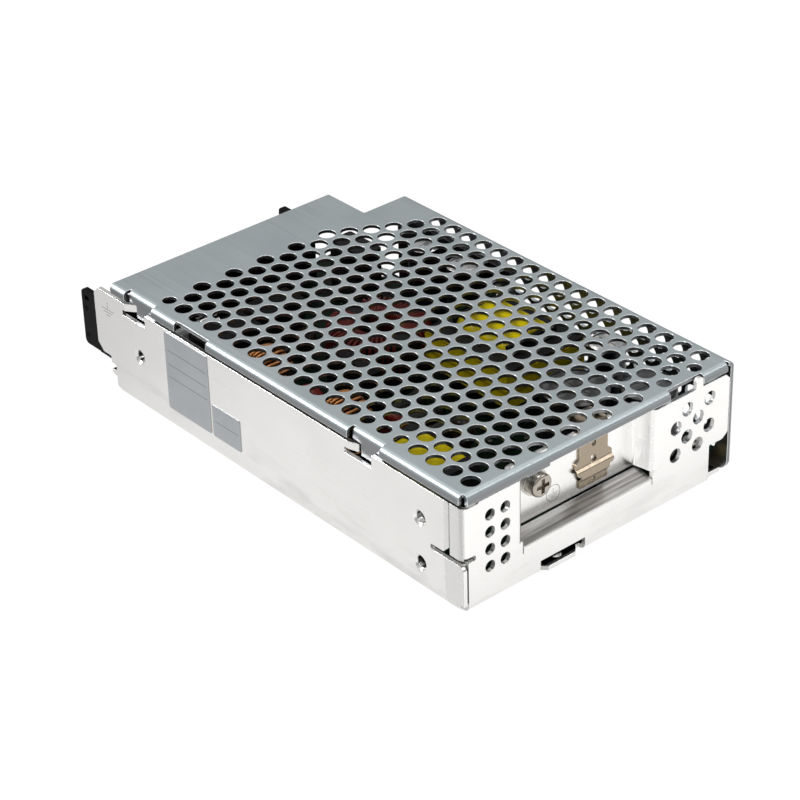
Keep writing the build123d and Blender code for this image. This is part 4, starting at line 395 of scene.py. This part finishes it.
def cover_metal():
    """Blue-grey sheet: upright faces darker as painted shade, edges white as a painted highlight."""
    material, tree, shader, body, streak, found = sheet_metal(
        "cover_metal", COVER_TONES, COVER_HIGHLIGHT_AND_SCRATCH, roughness=0.40, streak_scale=(25.0, 1800.0, 1800.0)
    )
    rise = calculate(tree, "ABSOLUTE", split(tree, coordinate(tree, "Normal"))[2])
    # Upright faces are painted darker (painted shade), and edges white (a painted highlight).
    body = mix_colors(tree, remap(tree, rise, *UPRIGHT_SLOPE, 1.0, 0.0), body, COVER_UPRIGHT_SHADE)
    tree.links.new(mix_colors(tree, found.outputs["Edge"], body, COVER_HIGHLIGHT_AND_SCRATCH), shader.inputs["Base Color"])
    bump_from(tree, shader, streak, FINE_GRAIN, strength=0.12, normal=found.outputs["Normal"])
    return material


dress("cover", cover_metal())

# %% [markdown]
# The tray is rolled aluminium, much brighter, with fine streaks along its folds. Near its foot it is painted
# darker in patches, a painted shade, and the shelf of its pocket is duller and brushed, its colour darkened as
# painted shade. Both are masks: low on the wall for the patches, and facing up at the shelf's height for the
# shelf.

# %% Painted shade on the tray, and its dull shelf
FOOT_SHADE_SCALE = (45.0, 45.0, 160.0)
FOOT_SHADE_PEAK, FOOT_SHADE_SHARE = (0.50, 0.68), 0.55
FOOT_SHADE_HEIGHTS = (2.0 * MM, 12.0 * MM)
FOOT_SHADE_TONE = (0.52, 0.50, 0.49, 1)
FACING = (0.5, 0.8)
SHELF_MIDDLE, SHELF_HALF = 11.3 * MM, 1.2 * MM
SHELF_SCALE = (900.0, 35.0, 900.0)
SHELF_SHADE_TONES = (0.20, 0.19, 0.185, 1), (0.66, 0.645, 0.63, 1)
SHELF_ROUGHNESS = 0.46


def foot_shade(tree, body, place, z):
    """Colour with patches of painted shade where broad noise peaks, fading out above the foot of the wall."""
    broad = noise(tree, squeeze(tree, place, FOOT_SHADE_SCALE), detail=5.0)
    patch = remap(tree, broad, *FOOT_SHADE_PEAK, 0.0, FOOT_SHADE_SHARE)
    low_part = remap(tree, z, *FOOT_SHADE_HEIGHTS, 1.0, 0.0)
    return mix_colors(tree, calculate(tree, "MULTIPLY", patch, low_part), body, FOOT_SHADE_TONE)


def facing_along(tree, part, most=1.0):
    """Rises from 0 to most where one part of the normal goes from 0.5 to 0.8."""
    return remap(tree, part, *FACING, 0.0, most)


def shaded_brushed_shelf(tree, shader, body, place, z, up, at_pocket):
    """Colour and roughness with the pocket's shelf brushed dull, its colour darkened as painted shade."""
    shelf = calculate(tree, "MULTIPLY", facing_along(tree, up), band(tree, z, SHELF_MIDDLE, SHELF_HALF))
    shelf = calculate(tree, "MULTIPLY", shelf, at_pocket)
    brushed = noise(tree, squeeze(tree, place, SHELF_SCALE), detail=4.0)
    tone = remap(tree, brushed, *CLOUD_SWING, 0.0, 1.0)
    smooth = shader.inputs["Roughness"].links[0].from_socket
    tree.links.new(mix_values(tree, shelf, smooth, SHELF_ROUGHNESS), shader.inputs["Roughness"])
    return mix_colors(tree, shelf, body, mix_colors(tree, tone, *SHELF_SHADE_TONES))


print("shelf at", round(SHELF_MIDDLE / MM, 1), "mm")

# %% [markdown]
# In the photograph the pocket's far side is nearly white although it mirrors a dark corner, so that side is
# less metallic here. The inner face of the near wall is darkened instead: it looks into the crowded inside,
# which takes most of the light. The marks come last, over everything else.

# %% Tray
TRAY_TONES = (0.81, 0.805, 0.795, 1), (0.85, 0.845, 0.835, 1)
TRAY_HIGHLIGHT_AND_SCRATCH = (0.96, 0.96, 0.95, 1)
POCKET_START = (72.5 * MM, 73.0 * MM)
POCKET_PAINTED_LIGHT, POCKET_METALLIC = (1.0, 0.995, 0.985, 1), 0.25
PANEL_LIGHT_SHARE, INSIDE_SHARE, MARK_SHARE = 0.3, 0.85, 0.6
INSIDE_TONE = (0.05, 0.05, 0.05, 1)
MARK_TONE = (0.22, 0.21, 0.21, 1)


def chassis_metal():
    """Bright sheet with painted shade near its foot, a dull brushed shelf in painted shade, painted light in
    the pocket, painted highlights on edges and the pressed marks.
    """
    material, tree, shader, body, streak, found = sheet_metal(
        "chassis_metal", TRAY_TONES, TRAY_HIGHLIGHT_AND_SCRATCH, roughness=0.24, streak_scale=(30.0, 2200.0, 2200.0)
    )
    place = coordinate(tree, "Object")
    x, _, z = split(tree, place)
    normal_x, normal_y, normal_z = split(tree, coordinate(tree, "Normal"))
    at_pocket = remap(tree, x, *POCKET_START, 0.0, 1.0)
    # Painted shade in patches near the foot of the wall.
    body = foot_shade(tree, body, place, z)
    # The shelf's colour is darkened as painted shade, with brushed streaks in it.
    body = shaded_brushed_shelf(tree, shader, body, place, z, normal_z, at_pocket)
    # The pocket's far side, and at a share its faces towards +X, are painted near white: painted light.
    near_facing = remap(tree, normal_y, -FACING[1], -FACING[0], 1.0, 0.0)
    far_side = calculate(tree, "MULTIPLY", near_facing, at_pocket)
    panel = calculate(tree, "MULTIPLY", facing_along(tree, normal_x, PANEL_LIGHT_SHARE), at_pocket)
    body = mix_colors(tree, calculate(tree, "MAXIMUM", far_side, panel), body, POCKET_PAINTED_LIGHT)
    tree.links.new(remap(tree, far_side, 0.0, 1.0, 1.0, POCKET_METALLIC), shader.inputs["Metallic"])
    body = mix_colors(tree, facing_along(tree, normal_y, INSIDE_SHARE), body, INSIDE_TONE)
    # Edges are painted near white: a painted highlight.
    body = mix_colors(tree, found.outputs["Edge"], body, TRAY_HIGHLIGHT_AND_SCRATCH)
    marked = calculate(tree, "MULTIPLY", pressed_marks(tree), MARK_SHARE)
    tree.links.new(mix_colors(tree, marked, body, MARK_TONE), shader.inputs["Base Color"])
    bump_from(tree, shader, streak, FINE_GRAIN, strength=0.06, normal=found.outputs["Normal"])
    return material


dress("chassis", chassis_metal())

# %% [markdown]
# Screws are zinc plated and turned or pressed, contacts are tinned, the clip is spring bronze and the
# heatsink is black anodised. They differ in colour and gloss alone, so one recipe with four values serves
# them all. A faint blotch keeps a small bright part from looking like plastic.

# %% Small metals


def plain_metal(name, color, edge, roughness):
    """Turned or stamped metal with a painted highlight on its edge and a little unevenness."""
    material, tree, shader = start_material(name, metallic=1.0)
    skin = fill_group(tree, SKIN, {"Grain Scale": 3500.0, "Blotch Scale": 600.0})
    found = fill_group(tree, EDGES, {"Radius": 0.15 * MM})
    body = mix_colors(tree, skin.outputs["Blotch"], shaded(color, share=0.82), color)
    # Edges take the edge colour: a painted highlight.
    tree.links.new(mix_colors(tree, found.outputs["Edge"], body, edge), shader.inputs["Base Color"])
    vary_roughness(tree, shader, skin.outputs["Blotch"], roughness, less=0.06, more=0.08)
    rounded = found.outputs["Normal"]
    bump_from(tree, shader, skin.outputs["Grain"], FINE_GRAIN, strength=0.4, normal=rounded)
    return material


# Each row: material name, colour, edge colour (a painted highlight), roughness, and the pieces.
SMALL_METALS = (
    ("zinc_screw", (0.62, 0.60, 0.56, 1), (0.92, 0.91, 0.88, 1), 0.24,
     "cover_screws earth_spring_washer earth_flat_washer board_screws terminal_screws heatsink_screws"),
    ("dark_screw", (0.47, 0.43, 0.38, 1), (0.86, 0.83, 0.78, 1), 0.24, "earth_screw"),
    ("tinned_plate", (0.74, 0.74, 0.72, 1), (0.92, 0.92, 0.90, 1), 0.34,
     "terminal_contacts terminal_washers fuse_clips"),
    ("spring_bronze", (0.39, 0.325, 0.245, 1), (0.74, 0.67, 0.57, 1), 0.24, "spring_clip"),
    ("turned_brass", (0.72, 0.55, 0.24, 1), (0.95, 0.85, 0.55, 1), 0.30, "board_standoffs"),
    ("black_anodised", (0.045, 0.045, 0.05, 1), (0.16, 0.16, 0.17, 1), 0.45, "heatsink"),
)
for name, color, edge, roughness, pieces in SMALL_METALS:
    dress(pieces, plain_metal(name, color, edge, roughness))

# %% [markdown]
# The terminal block is moulded, the discs are dipped in resin and the boxes are cast. In shade they are
# nearly black, and only their gloss tells them apart. Light that enters through the lid is weak, so their
# reflection is kept low: a glossy skin would mirror the bright room through the holes and look grey.

# %% Mouldings and dipped parts


def moulded(name, color, roughness, grain=0.02 * MM, coat=0.0, specular=0.15):
    """Plastic or resin skin: blotched colour, fine grain, edges a little lighter as a painted highlight."""
    material, tree, shader = start_material(name, coat=coat, specular=specular)
    skin = fill_group(tree, SKIN, {})
    found = fill_group(tree, EDGES, {"Radius": 0.2 * MM})
    body = mix_colors(tree, skin.outputs["Blotch"], shaded(color, share=0.85), shaded(color, share=1.12))
    # Edges are painted a little lighter: a painted highlight.
    body = mix_colors(tree, found.outputs["Edge"], body, shaded(color, share=1.3, lift=0.012))
    tree.links.new(body, shader.inputs["Base Color"])
    vary_roughness(tree, shader, skin.outputs["Blotch"], roughness, less=0.05, more=0.07)
    rounded = found.outputs["Normal"]
    bump_from(tree, shader, skin.outputs["Grain"], grain, strength=0.5, normal=rounded)
    return material


MOULDINGS = (
    ("black_terminal", (0.003, 0.003, 0.003, 1), 0.38, {"specular": 0.05}, "terminal_block"),
    ("black_epoxy", (0.008, 0.008, 0.009, 1), 0.48, {},
     "clamped_transistor transformer_bobbin ring_choke_base line_choke_bases "
     "bridge_rectifier output_diodes control_chips optocouplers"),
    ("ferrite", (0.018, 0.018, 0.019, 1), 0.58, {"grain": 0.05 * MM, "specular": 0.2},
     "transformer_core coil_caps ring_choke_core line_choke_cores"),
    ("black_film", (0.006, 0.006, 0.007, 1), 0.28, {"grain": 0.005 * MM}, "insulating_film"),
    ("grey_pad", (0.42, 0.43, 0.43, 1), 0.70, {}, "thermal_pad"),
    ("dark_box", (0.010, 0.010, 0.011, 1), 0.40, {}, "film_capacitors"),
    ("dark_dip", (0.030, 0.020, 0.014, 1), 0.30, {"coat": 0.08}, "disc_capacitors"),
    ("red_dip", (0.24, 0.020, 0.016, 1), 0.32, {"coat": 0.08}, "varistor thermistor"),
    ("grey_ceramic", (0.05, 0.05, 0.045, 1), 0.60, {"specular": 0.2}, "power_resistors"),
    ("blue_body", (0.015, 0.035, 0.10, 1), 0.42, {"specular": 0.2}, "adjuster_body"),
    ("white_rotor", (0.45, 0.44, 0.41, 1), 0.40, {}, "adjuster_rotor"),
)
for name, color, roughness, options, pieces in MOULDINGS:
    dress(pieces, moulded(name, color, roughness, **options))

# %% [markdown]
# Polyester tape goes round a coil in several turns. It is clear yellow over whatever lies under it, so its
# colour shifts where turns lap, and each lap shows as a thin line.

# %% Wrapped tape
TAPE_TONES = (0.90, 0.68, 0.002, 1), (1.0, 0.86, 0.004, 1)
LAP_TONE = (0.50, 0.36, 0.01, 1)
LAP_CREST = (0.88, 0.97)


def wrapped_tape():
    """Yellow tape: blotches shift its colour, and the crests of a bent wave along Z are its laps."""
    material, tree, shader = start_material("yellow_tape", roughness=0.45, coat=0.08, specular=0.15)
    skin = fill_group(tree, SKIN, {"Grain Scale": 900.0, "Blotch Scale": 90.0})
    place = coordinate(tree, "Object")
    bands = add_node(
        tree, "ShaderNodeTexWave", {"Vector": place, "Scale": 55.0, "Distortion": 1.2, "Detail Scale": 60.0},
        wave_type="BANDS", bands_direction="Z",
    )
    lap = remap(tree, bands.outputs["Fac"], *LAP_CREST, 0.0, 1.0)
    body = mix_colors(tree, skin.outputs["Blotch"], *TAPE_TONES)
    tree.links.new(mix_colors(tree, lap, body, LAP_TONE), shader.inputs["Base Color"])
    bump_from(tree, shader, skin.outputs["Grain"], distance=0.06 * MM, strength=0.4)
    return material


dress("transformer_winding transformer_tape coil_winding", wrapped_tape())

# %% [markdown]
# An electrolytic can is aluminium in a printed sleeve that leaves its scored top bare. The surface that
# faces up is metal and the rest is sleeve, so the upward part of the normal is the switch between them.

# %% Cans
SLEEVE = (0.010, 0.010, 0.013, 1)
TOP_FACING = (0.35, 0.55)


def can_material(name, top):
    """Sleeve below, bare metal where the surface faces up."""
    material, tree, shader = start_material(name, roughness=0.35)
    up = remap(tree, split(tree, coordinate(tree, "Normal"))[2], *TOP_FACING, 0.0, 1.0)
    skin = fill_group(tree, SKIN, {"Grain Scale": 1500.0, "Blotch Scale": 300.0})
    metal = mix_colors(tree, skin.outputs["Blotch"], shaded(top, share=0.8), top)
    tree.links.new(mix_colors(tree, up, SLEEVE, metal), shader.inputs["Base Color"])
    tree.links.new(up, shader.inputs["Metallic"])
    bump_from(tree, shader, skin.outputs["Grain"], FINE_GRAIN, strength=0.3)
    return material


dress("bulk_capacitors", can_material("grey_can", (0.22, 0.22, 0.22, 1)))
dress("output_capacitors", can_material("silver_can", (0.97, 0.96, 0.94, 1)))

# %% [markdown]
# The board is green laminate. Its tracks lie under the mask as slightly darker runs, and pads are tinned
# spots. Cells of a Voronoi pattern, read at their borders, give runs that meet as tracks do.

# %% Circuit boards
# The mask and track tones are darkened nearly to black: painted shade for the closed inside of the case.
SHADED_MASK_TONE, TRACK_TONE = (0.006, 0.018, 0.010, 1), (0.003, 0.008, 0.005, 1)
PAD_TONE = (0.24, 0.24, 0.23, 1)
TRACK_WIDTH, PAD_WIDTH = (0.05, 0.075), (0.12, 0.15)


def board_material():
    """Green mask darkened nearly to black as painted shade, with darker runs and tinned spots, from two
    Voronoi patterns.
    """
    material, tree, shader = start_material("green_board", roughness=0.42, specular=0.04)
    place = coordinate(tree, "Object")
    runs = add_node(
        tree, "ShaderNodeTexVoronoi", {"Vector": place, "Scale": 260.0},
        feature="DISTANCE_TO_EDGE", distance="EUCLIDEAN",
    )
    track = remap(tree, runs.outputs["Distance"], *TRACK_WIDTH, 1.0, 0.0)
    spots = add_node(tree, "ShaderNodeTexVoronoi", {"Vector": place, "Scale": 210.0, "Randomness": 0.75})
    pad = remap(tree, spots.outputs["Distance"], *PAD_WIDTH, 1.0, 0.0)
    green = mix_colors(tree, track, SHADED_MASK_TONE, TRACK_TONE)
    tree.links.new(mix_colors(tree, pad, green, PAD_TONE), shader.inputs["Base Color"])
    tree.links.new(pad, shader.inputs["Metallic"])
    bump_from(tree, shader, track, distance=0.03 * MM, strength=0.4)
    return material


dress("circuit_board control_board", board_material())

# %% [markdown]
# A glass fuse has a metal cap at each end, and here both are one piece. Distance from its middle tells cap
# from glass. The indicator light is tinted resin that lets half of the light through.

# %% Fuse and light
CAP_LENGTH, CAP_BORDER = 5.3 * MM, 0.1 * MM
GLASS_TONE, CAP_TONE = (0.80, 0.84, 0.82, 1), (0.72, 0.72, 0.70, 1)
LENS_TONES = (0.16, 0.50, 0.18, 1), (0.24, 0.62, 0.26, 1)


def fuse_material():
    """Glass in the middle of the tube and metal caps at its ends, told apart by |y - middle|."""
    material, tree, shader = start_material("fuse_tube", roughness=0.12)
    low, high = corners("fuse")
    y = split(tree, coordinate(tree, "Object"))[1]
    distance = calculate(tree, "ABSOLUTE", calculate(tree, "SUBTRACT", y, float((low[1] + high[1]) / 2)))
    cap_start = float((high[1] - low[1]) / 2) - CAP_LENGTH
    cap = remap(tree, distance, cap_start, cap_start + CAP_BORDER, 0.0, 1.0)
    tree.links.new(mix_colors(tree, cap, GLASS_TONE, CAP_TONE), shader.inputs["Base Color"])
    tree.links.new(cap, shader.inputs["Metallic"])
    return material


def lens_material():
    """Tinted clear resin, a little milky."""
    material, tree, shader = start_material("green_lens", roughness=0.15)
    skin = fill_group(tree, SKIN, {"Blotch Scale": 400.0})
    tree.links.new(mix_colors(tree, skin.outputs["Blotch"], *LENS_TONES), shader.inputs["Base Color"])
    shader.inputs["Transmission Weight"].default_value = 0.5
    return material


dress("fuse", fuse_material())
dress("indicator_light", lens_material())

# %% [markdown]
# The two labels on the near wall are silver-grey film. They carry no words here. Thin ruled lines keep the
# look of a rating plate: each is a narrow band at a fixed share of the label's height.

# %% Blank labels
LABEL_INSET, LABEL_LINE = 1.0 * MM, 0.07 * MM
FILM_TONES = (0.42, 0.44, 0.46, 1), (0.52, 0.54, 0.56, 1)
INK_TONE = (0.10, 0.10, 0.11, 1)


def label_material(node, rows):
    """Silver film with ruled lines at these shares of its height, inset from its edges."""
    material, tree, shader = start_material("silver_" + node, metallic=0.55, roughness=0.42)
    low, high = corners(node)
    x, _, z = split(tree, coordinate(tree, "Object"))
    inside = band(tree, x, float((low[0] + high[0]) / 2), float((high[0] - low[0]) / 2) - LABEL_INSET)
    ink = None
    for share in rows:
        height = float(low[2] + LABEL_INSET + share * (high[2] - low[2] - 2 * LABEL_INSET))
        line = band(tree, z, height, LABEL_LINE)
        ink = line if ink is None else calculate(tree, "MAXIMUM", ink, line)
    drawn = calculate(tree, "MULTIPLY", ink, inside)
    skin = fill_group(tree, SKIN, {"Grain Scale": 1800.0, "Blotch Scale": 120.0})
    film = mix_colors(tree, skin.outputs["Blotch"], *FILM_TONES)
    tree.links.new(mix_colors(tree, drawn, film, INK_TONE), shader.inputs["Base Color"])
    bump_from(tree, shader, skin.outputs["Grain"], FINE_GRAIN, strength=0.3)
    return material


dress("large_label", label_material("large_label", (0.42, 0.60, 0.80)))
dress("small_label", label_material("small_label", (0.5,)))

# %% [markdown]
# New pieces are wires worked out as arrays. A wire is a row of rings of points: faces join each ring to the
# next, and a ring's last point to its first. All its points and faces go into the mesh in one call.

# %% Helpers for new pieces


def tube_faces(rings, sides):
    """Quads between neighbouring rings, wrapped round each ring."""
    ring, side = np.meshgrid(np.arange(rings - 1), np.arange(sides), indexing="ij")
    next_side = (side + 1) % sides
    quads = [
        ring * sides + side,
        ring * sides + next_side,
        (ring + 1) * sides + next_side,
        (ring + 1) * sides + side,
    ]
    return np.stack(quads, axis=-1).reshape(-1, 4)


def surface_piece(name, tubes, material, body="case"):
    """One object from several wires, each an array of rings of points."""
    vertices, faces, start = [], [], 0
    for points in tubes:
        rings, sides = points.shape[:2]
        vertices.append(points.reshape(-1, 3))
        faces.append(tube_faces(rings, sides) + start)
        start += rings * sides
    vertices, faces = np.concatenate(vertices), np.concatenate(faces)
    mesh = bpy.data.meshes.new(name)
    mesh.from_pydata(vertices.tolist(), [], faces.tolist())
    mesh.polygons.foreach_set("use_smooth", np.ones(len(mesh.polygons), bool))
    mesh.materials.append(material)
    mesh.update()
    piece = bpy.data.objects.new(name, mesh)
    bpy.context.scene.collection.objects.link(piece)
    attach(piece, body)
    print(name, "triangles:", 2 * len(faces))
    return piece


def unit(vectors):
    """Vectors at length one."""
    return vectors / np.linalg.norm(vectors, axis=-1, keepdims=True)


def wire_along(path, outward, radius, sides=8):
    """Rings of points: path + radius x (cos a x out + sin a x side), square to the path."""
    along = unit(np.gradient(path, axis=0))
    side = unit(np.cross(along, outward))
    out = np.cross(side, along)
    angle = np.linspace(0, tau, sides, endpoint=False)
    ring = np.cos(angle)[None, :, None] * out[:, None] + np.sin(angle)[None, :, None] * side[:, None]
    return path[:, None] + radius * ring


# %% [markdown]
# The chokes are rings of ferrite wound with enamelled wire. A turn goes out over the top, down the outside,
# in underneath and up through the bore, round a rounded box. While it does so it creeps along the ring. A
# power below 1 on sine and cosine turns the circle of such a turn into that box.

# %% Coil turns
STEPS_PER_TURN = 26
BOX_POWER = 0.45
WIRE_GAP = 0.1 * MM


def boxed(wave):
    """Sign x size to a power below 1: pushes a sine or cosine towards -1 and 1."""
    return np.sign(wave) * np.abs(wave) ** BOX_POWER


def ring_turns(centre, axis, start_angle, sweep, turns, mean, half_width, half_height, radius):
    """Wire round a ring: the angle along the ring grows evenly, the section follows a rounded box."""
    share = np.linspace(0, 1, turns * STEPS_PER_TURN + 1)
    turn_angle = tau * turns * share
    ring_angle = start_angle + sweep * share
    across, up = boxed(np.cos(turn_angle)), boxed(np.sin(turn_angle))
    axis = np.array(axis, float)
    first = np.array([1.0, 0, 0])
    second = np.cross(axis, first)
    radial = np.cos(ring_angle)[:, None] * first + np.sin(ring_angle)[:, None] * second
    path = centre + radial * (mean + half_width * across)[:, None] + axis * (half_height * up)[:, None]
    outward = radial * np.cos(turn_angle)[:, None] + axis * np.sin(turn_angle)[:, None]
    return wire_along(path, outward, radius)


def two_windings(centre, axis, diameter, depth, bore_share, wire, start, sweep, turns):
    """Windings on both halves of a ring, start and sweep in degrees, a small gap off the core."""
    bore = diameter * bore_share
    mean, half_width = (diameter + bore) / 4, (diameter - bore) / 4
    return [
        ring_turns(
            centre, axis, radians(start + 180 * half), radians(sweep), turns, mean,
            half_width + wire + WIRE_GAP, depth / 2 + wire + WIRE_GAP, wire,
        )
        for half in range(2)
    ]


def wire_material(name, dark, light, metallic):
    """Enamelled wire: colour blotches along it and a clear coat."""
    material, tree, shader = start_material(name, metallic=metallic, roughness=0.30, coat=0.12, specular=0.15)
    skin = fill_group(tree, SKIN, {"Grain Scale": 2500.0, "Blotch Scale": 350.0})
    tree.links.new(mix_colors(tree, skin.outputs["Blotch"], dark, light), shader.inputs["Base Color"])
    bump_from(tree, shader, skin.outputs["Grain"], FINE_GRAIN, strength=0.3)
    return material


# %% [markdown]
# The two line chokes stand upright and are wound with copper-coloured wire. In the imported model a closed
# sleeve stands for the wire of each half, and the turns take the sleeves' place.

# %% Line chokes
COPPER_WIRE = wire_material("copper_wire", (0.45, 0.17, 0.05, 1), (0.75, 0.36, 0.14, 1), metallic=0.8)
LINE_BORE_SHARE = 7.4 / 15.5
LINE_WIRE = 0.45 * MM
LINE_START, LINE_SWEEP, LINE_TURNS = 25, 130, 13
line_low, line_high = corners("line_choke_cores")
line_diameter, line_depth = line_high[2] - line_low[2], line_high[1] - line_low[1]
line_tubes = []
for x in (line_low[0] + line_diameter / 2, line_high[0] - line_diameter / 2):
    centre = np.array([x, (line_low[1] + line_high[1]) / 2, (line_low[2] + line_high[2]) / 2])
    line_tubes += two_windings(
        centre, (0, 1, 0), line_diameter, line_depth, LINE_BORE_SHARE, LINE_WIRE,
        LINE_START, LINE_SWEEP, LINE_TURNS,
    )
line_turns = surface_piece("line_choke_turns", line_tubes, COPPER_WIRE)
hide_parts("line_choke_windings")

# %% [markdown]
# The ring choke lies flat on its base. Its wire is thicker and dark red, and its two windings leave a gap
# between them at each side, where the bare core shows.

# %% Ring choke
RED_WIRE = wire_material("dark_red_wire", (0.09, 0.010, 0.008, 1), (0.24, 0.030, 0.020, 1), metallic=0.15)
RING_BORE_SHARE = 13.0 / 27.0
RING_WIRE = 0.55 * MM
RING_START, RING_SWEEP, RING_TURNS = 17, 146, 22
ring_low, ring_high = corners("ring_choke_core")
ring_diameter, ring_depth = ring_high[0] - ring_low[0], ring_high[2] - ring_low[2]
ring_tubes = two_windings(
    (ring_low + ring_high) / 2, (0, 0, 1), ring_diameter, ring_depth, RING_BORE_SHARE, RING_WIRE,
    RING_START, RING_SWEEP, RING_TURNS,
)
ring_turns_piece = surface_piece("ring_choke_turns", ring_tubes, RED_WIRE)
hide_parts("ring_choke_winding")

# %% [markdown]
# Metal shows what is around it, so the case's walls are as bright as the floor before them. The Light Path
# node tells rays apart: the camera sees a white floor that keeps a part of the shadow, and mirrored rays see
# a floor that brightens towards the pocket end. All other light meets plain diffuse white.

# %% Floor
FLOOR_HALF = 1.6
FLOOR_WHITE = (0.92, 0.92, 0.92, 1)
MIRRORED_FLOOR = (0.74, 1.07, 1.42)
FLOOR_RISE, FLOOR_END = (-0.12, -0.02), (0.07, 0.10)
CAMERA_TONE, CAMERA_SHARE = 1.10, 0.88
MIRRORED_TINT, MIRRORED_SHARE = (1.0, 0.994, 0.985, 1), 0.75
WHITE = (1.0, 1.0, 1.0, 1)


def empty_tree(owner):
    """Node tree of a material or world, without its first nodes."""
    owner.use_nodes = True
    owner.node_tree.nodes.clear()
    return owner.node_tree


def end_tree(tree, output, share, first, second):
    """Blend two shaders by a share and link them to an output."""
    mixed = add_node(tree, "ShaderNodeMixShader", {0: share, 1: first.outputs[0], 2: second.outputs[0]})
    add_node(tree, output, {"Surface": mixed.outputs[0]})


def floor_material():
    """Diffuse white, mixed with plain white for the camera and with a graded white for mirrored rays."""
    material = bpy.data.materials.new("floor_white")
    tree = empty_tree(material)
    x = split(tree, coordinate(tree, "Object"))[0]
    start, middle, end = MIRRORED_FLOOR
    rise = remap(tree, x, *FLOOR_RISE, start, middle)
    mirrored = calculate(tree, "ADD", rise, remap(tree, x, *FLOOR_END, 0.0, end - middle))
    rays = tree.nodes.new("ShaderNodeLightPath").outputs
    seen = calculate(tree, "MAXIMUM", rays["Is Camera Ray"], rays["Is Transmission Ray"])
    tone = mix_values(tree, seen, mirrored, CAMERA_TONE)
    tint = mix_colors(tree, seen, MIRRORED_TINT, WHITE)
    glow = add_node(tree, "ShaderNodeEmission", {"Color": tint, "Strength": tone})
    camera_part = calculate(tree, "MULTIPLY", seen, CAMERA_SHARE)
    mirror_part = calculate(tree, "MULTIPLY", rays["Is Glossy Ray"], MIRRORED_SHARE)
    share = calculate(tree, "MAXIMUM", camera_part, mirror_part)
    diffuse = add_node(tree, "ShaderNodeBsdfDiffuse", {"Color": FLOOR_WHITE})
    end_tree(tree, "ShaderNodeOutputMaterial", share, diffuse, glow)
    return material


def studio_floor():
    """Wide flat floor under the object."""
    points = [(x * FLOOR_HALF, y * FLOOR_HALF, 0) for x, y in ((-1, -1), (1, -1), (1, 1), (-1, 1))]
    mesh = bpy.data.meshes.new("floor")
    mesh.from_pydata(points, [], [(0, 1, 2, 3)])
    mesh.materials.append(floor_material())
    floor = bpy.data.objects.new("floor", mesh)
    bpy.context.scene.collection.objects.link(floor)


studio_floor()
print("floor:", 2 * FLOOR_HALF, "m square")

# %% [markdown]
# The world is white for the camera too. Mirrored rays see a band of greys that is dark near the horizon and
# light above. The light it casts stays low, so that the inside of the case goes dark.

# %% World
MIRRORED_SKY, SKY_HEIGHTS = (0.39, 0.92), (0.45, 0.65)
ROOM_LIGHT = 0.08


def studio_world():
    """White for the camera, a band of greys for mirrored rays, and a low even light for the rest."""
    world = bpy.data.worlds.new("studio")
    bpy.context.scene.world = world
    tree = empty_tree(world)
    height = remap(tree, split(tree, coordinate(tree, "Generated"))[2], *SKY_HEIGHTS, *MIRRORED_SKY)
    rays = tree.nodes.new("ShaderNodeLightPath").outputs
    strength = mix_values(tree, rays["Is Glossy Ray"], ROOM_LIGHT, height)
    light = add_node(tree, "ShaderNodeBackground", {"Color": WHITE, "Strength": strength})
    plain = add_node(tree, "ShaderNodeBackground", {"Color": WHITE, "Strength": 1.0})
    end_tree(tree, "ShaderNodeOutputWorld", rays["Is Camera Ray"], light, plain)


studio_world()
print("world:", bpy.context.scene.world.name)

# %% [markdown]
# A fold shines where a lamp stands in the direction that it mirrors, so the near fold and the end fold have
# a square lamp each. A third, overhead, lights the lid, and a narrow spot lamp reaches into the pocket.

# %% Lamps
SQUARE_LAMPS = (
    ("lamp_near_fold", (-0.65, -0.55, 0.55), (0.0, -0.045, 0.03), 5.0, 0.30),
    ("lamp_end_fold", (0.60, 0.55, 0.68), (0.08, 0.0, 0.03), 0.9, 0.30),
    ("lamp_top", (-0.1, 0.1, 1.1), (0.0, 0.0, 0.03), 3.0, 0.5),
)
POCKET_LAMP = ("lamp_pocket", (0.30, -0.42, 0.16), (0.0765, 0.017, 0.0255), 6.0)
POCKET_CONE = 3.8


def aimed_lamp(kind, name, place, aim, power):
    """Lamp that faces a point: its own -Z lies along aim - place."""
    lamp = bpy.data.lights.new(name, kind)
    lamp.energy = power
    lamp_object = bpy.data.objects.new(name, lamp)
    bpy.context.scene.collection.objects.link(lamp_object)
    lamp_object.location = place
    direction = Vector(aim) - Vector(place)
    lamp_object.rotation_euler = direction.to_track_quat("-Z", "Y").to_euler()
    return lamp


for *values, size in SQUARE_LAMPS:
    aimed_lamp("AREA", *values).size = size
aimed_lamp("SPOT", *POCKET_LAMP).spot_size = radians(POCKET_CONE)
print("lamps:", [light.name for light in bpy.data.lights])

# %% [markdown]
# The camera was worked out from the photograph: the holes of the lid form a regular lattice, and only one
# place, direction and lens make a lattice of that pitch fall where it does in the picture.

# %% Camera
CAMERA_PLACE = (0.46182, -0.38582, 0.37685)
CAMERA_TURN = (58.337, 1.398, 49.116)
CAMERA_LENS, CAMERA_SENSOR, CAMERA_CLIP = 117.86, 36.0, 0.01


def studio_camera():
    """Camera at the photograph's place, direction and lens."""
    camera = bpy.data.cameras.new("camera")
    camera.sensor_width = CAMERA_SENSOR
    camera.lens = CAMERA_LENS
    camera.clip_start = CAMERA_CLIP
    camera_object = bpy.data.objects.new("camera", camera)
    bpy.context.scene.collection.objects.link(camera_object)
    camera_object.location = CAMERA_PLACE
    camera_object.rotation_euler = [radians(angle) for angle in CAMERA_TURN]
    bpy.context.scene.camera = camera_object


studio_camera()
bpy.context.scene.view_settings.view_transform = "Standard"
print("camera at", tuple(round(value, 3) for value in bpy.context.scene.camera.location))
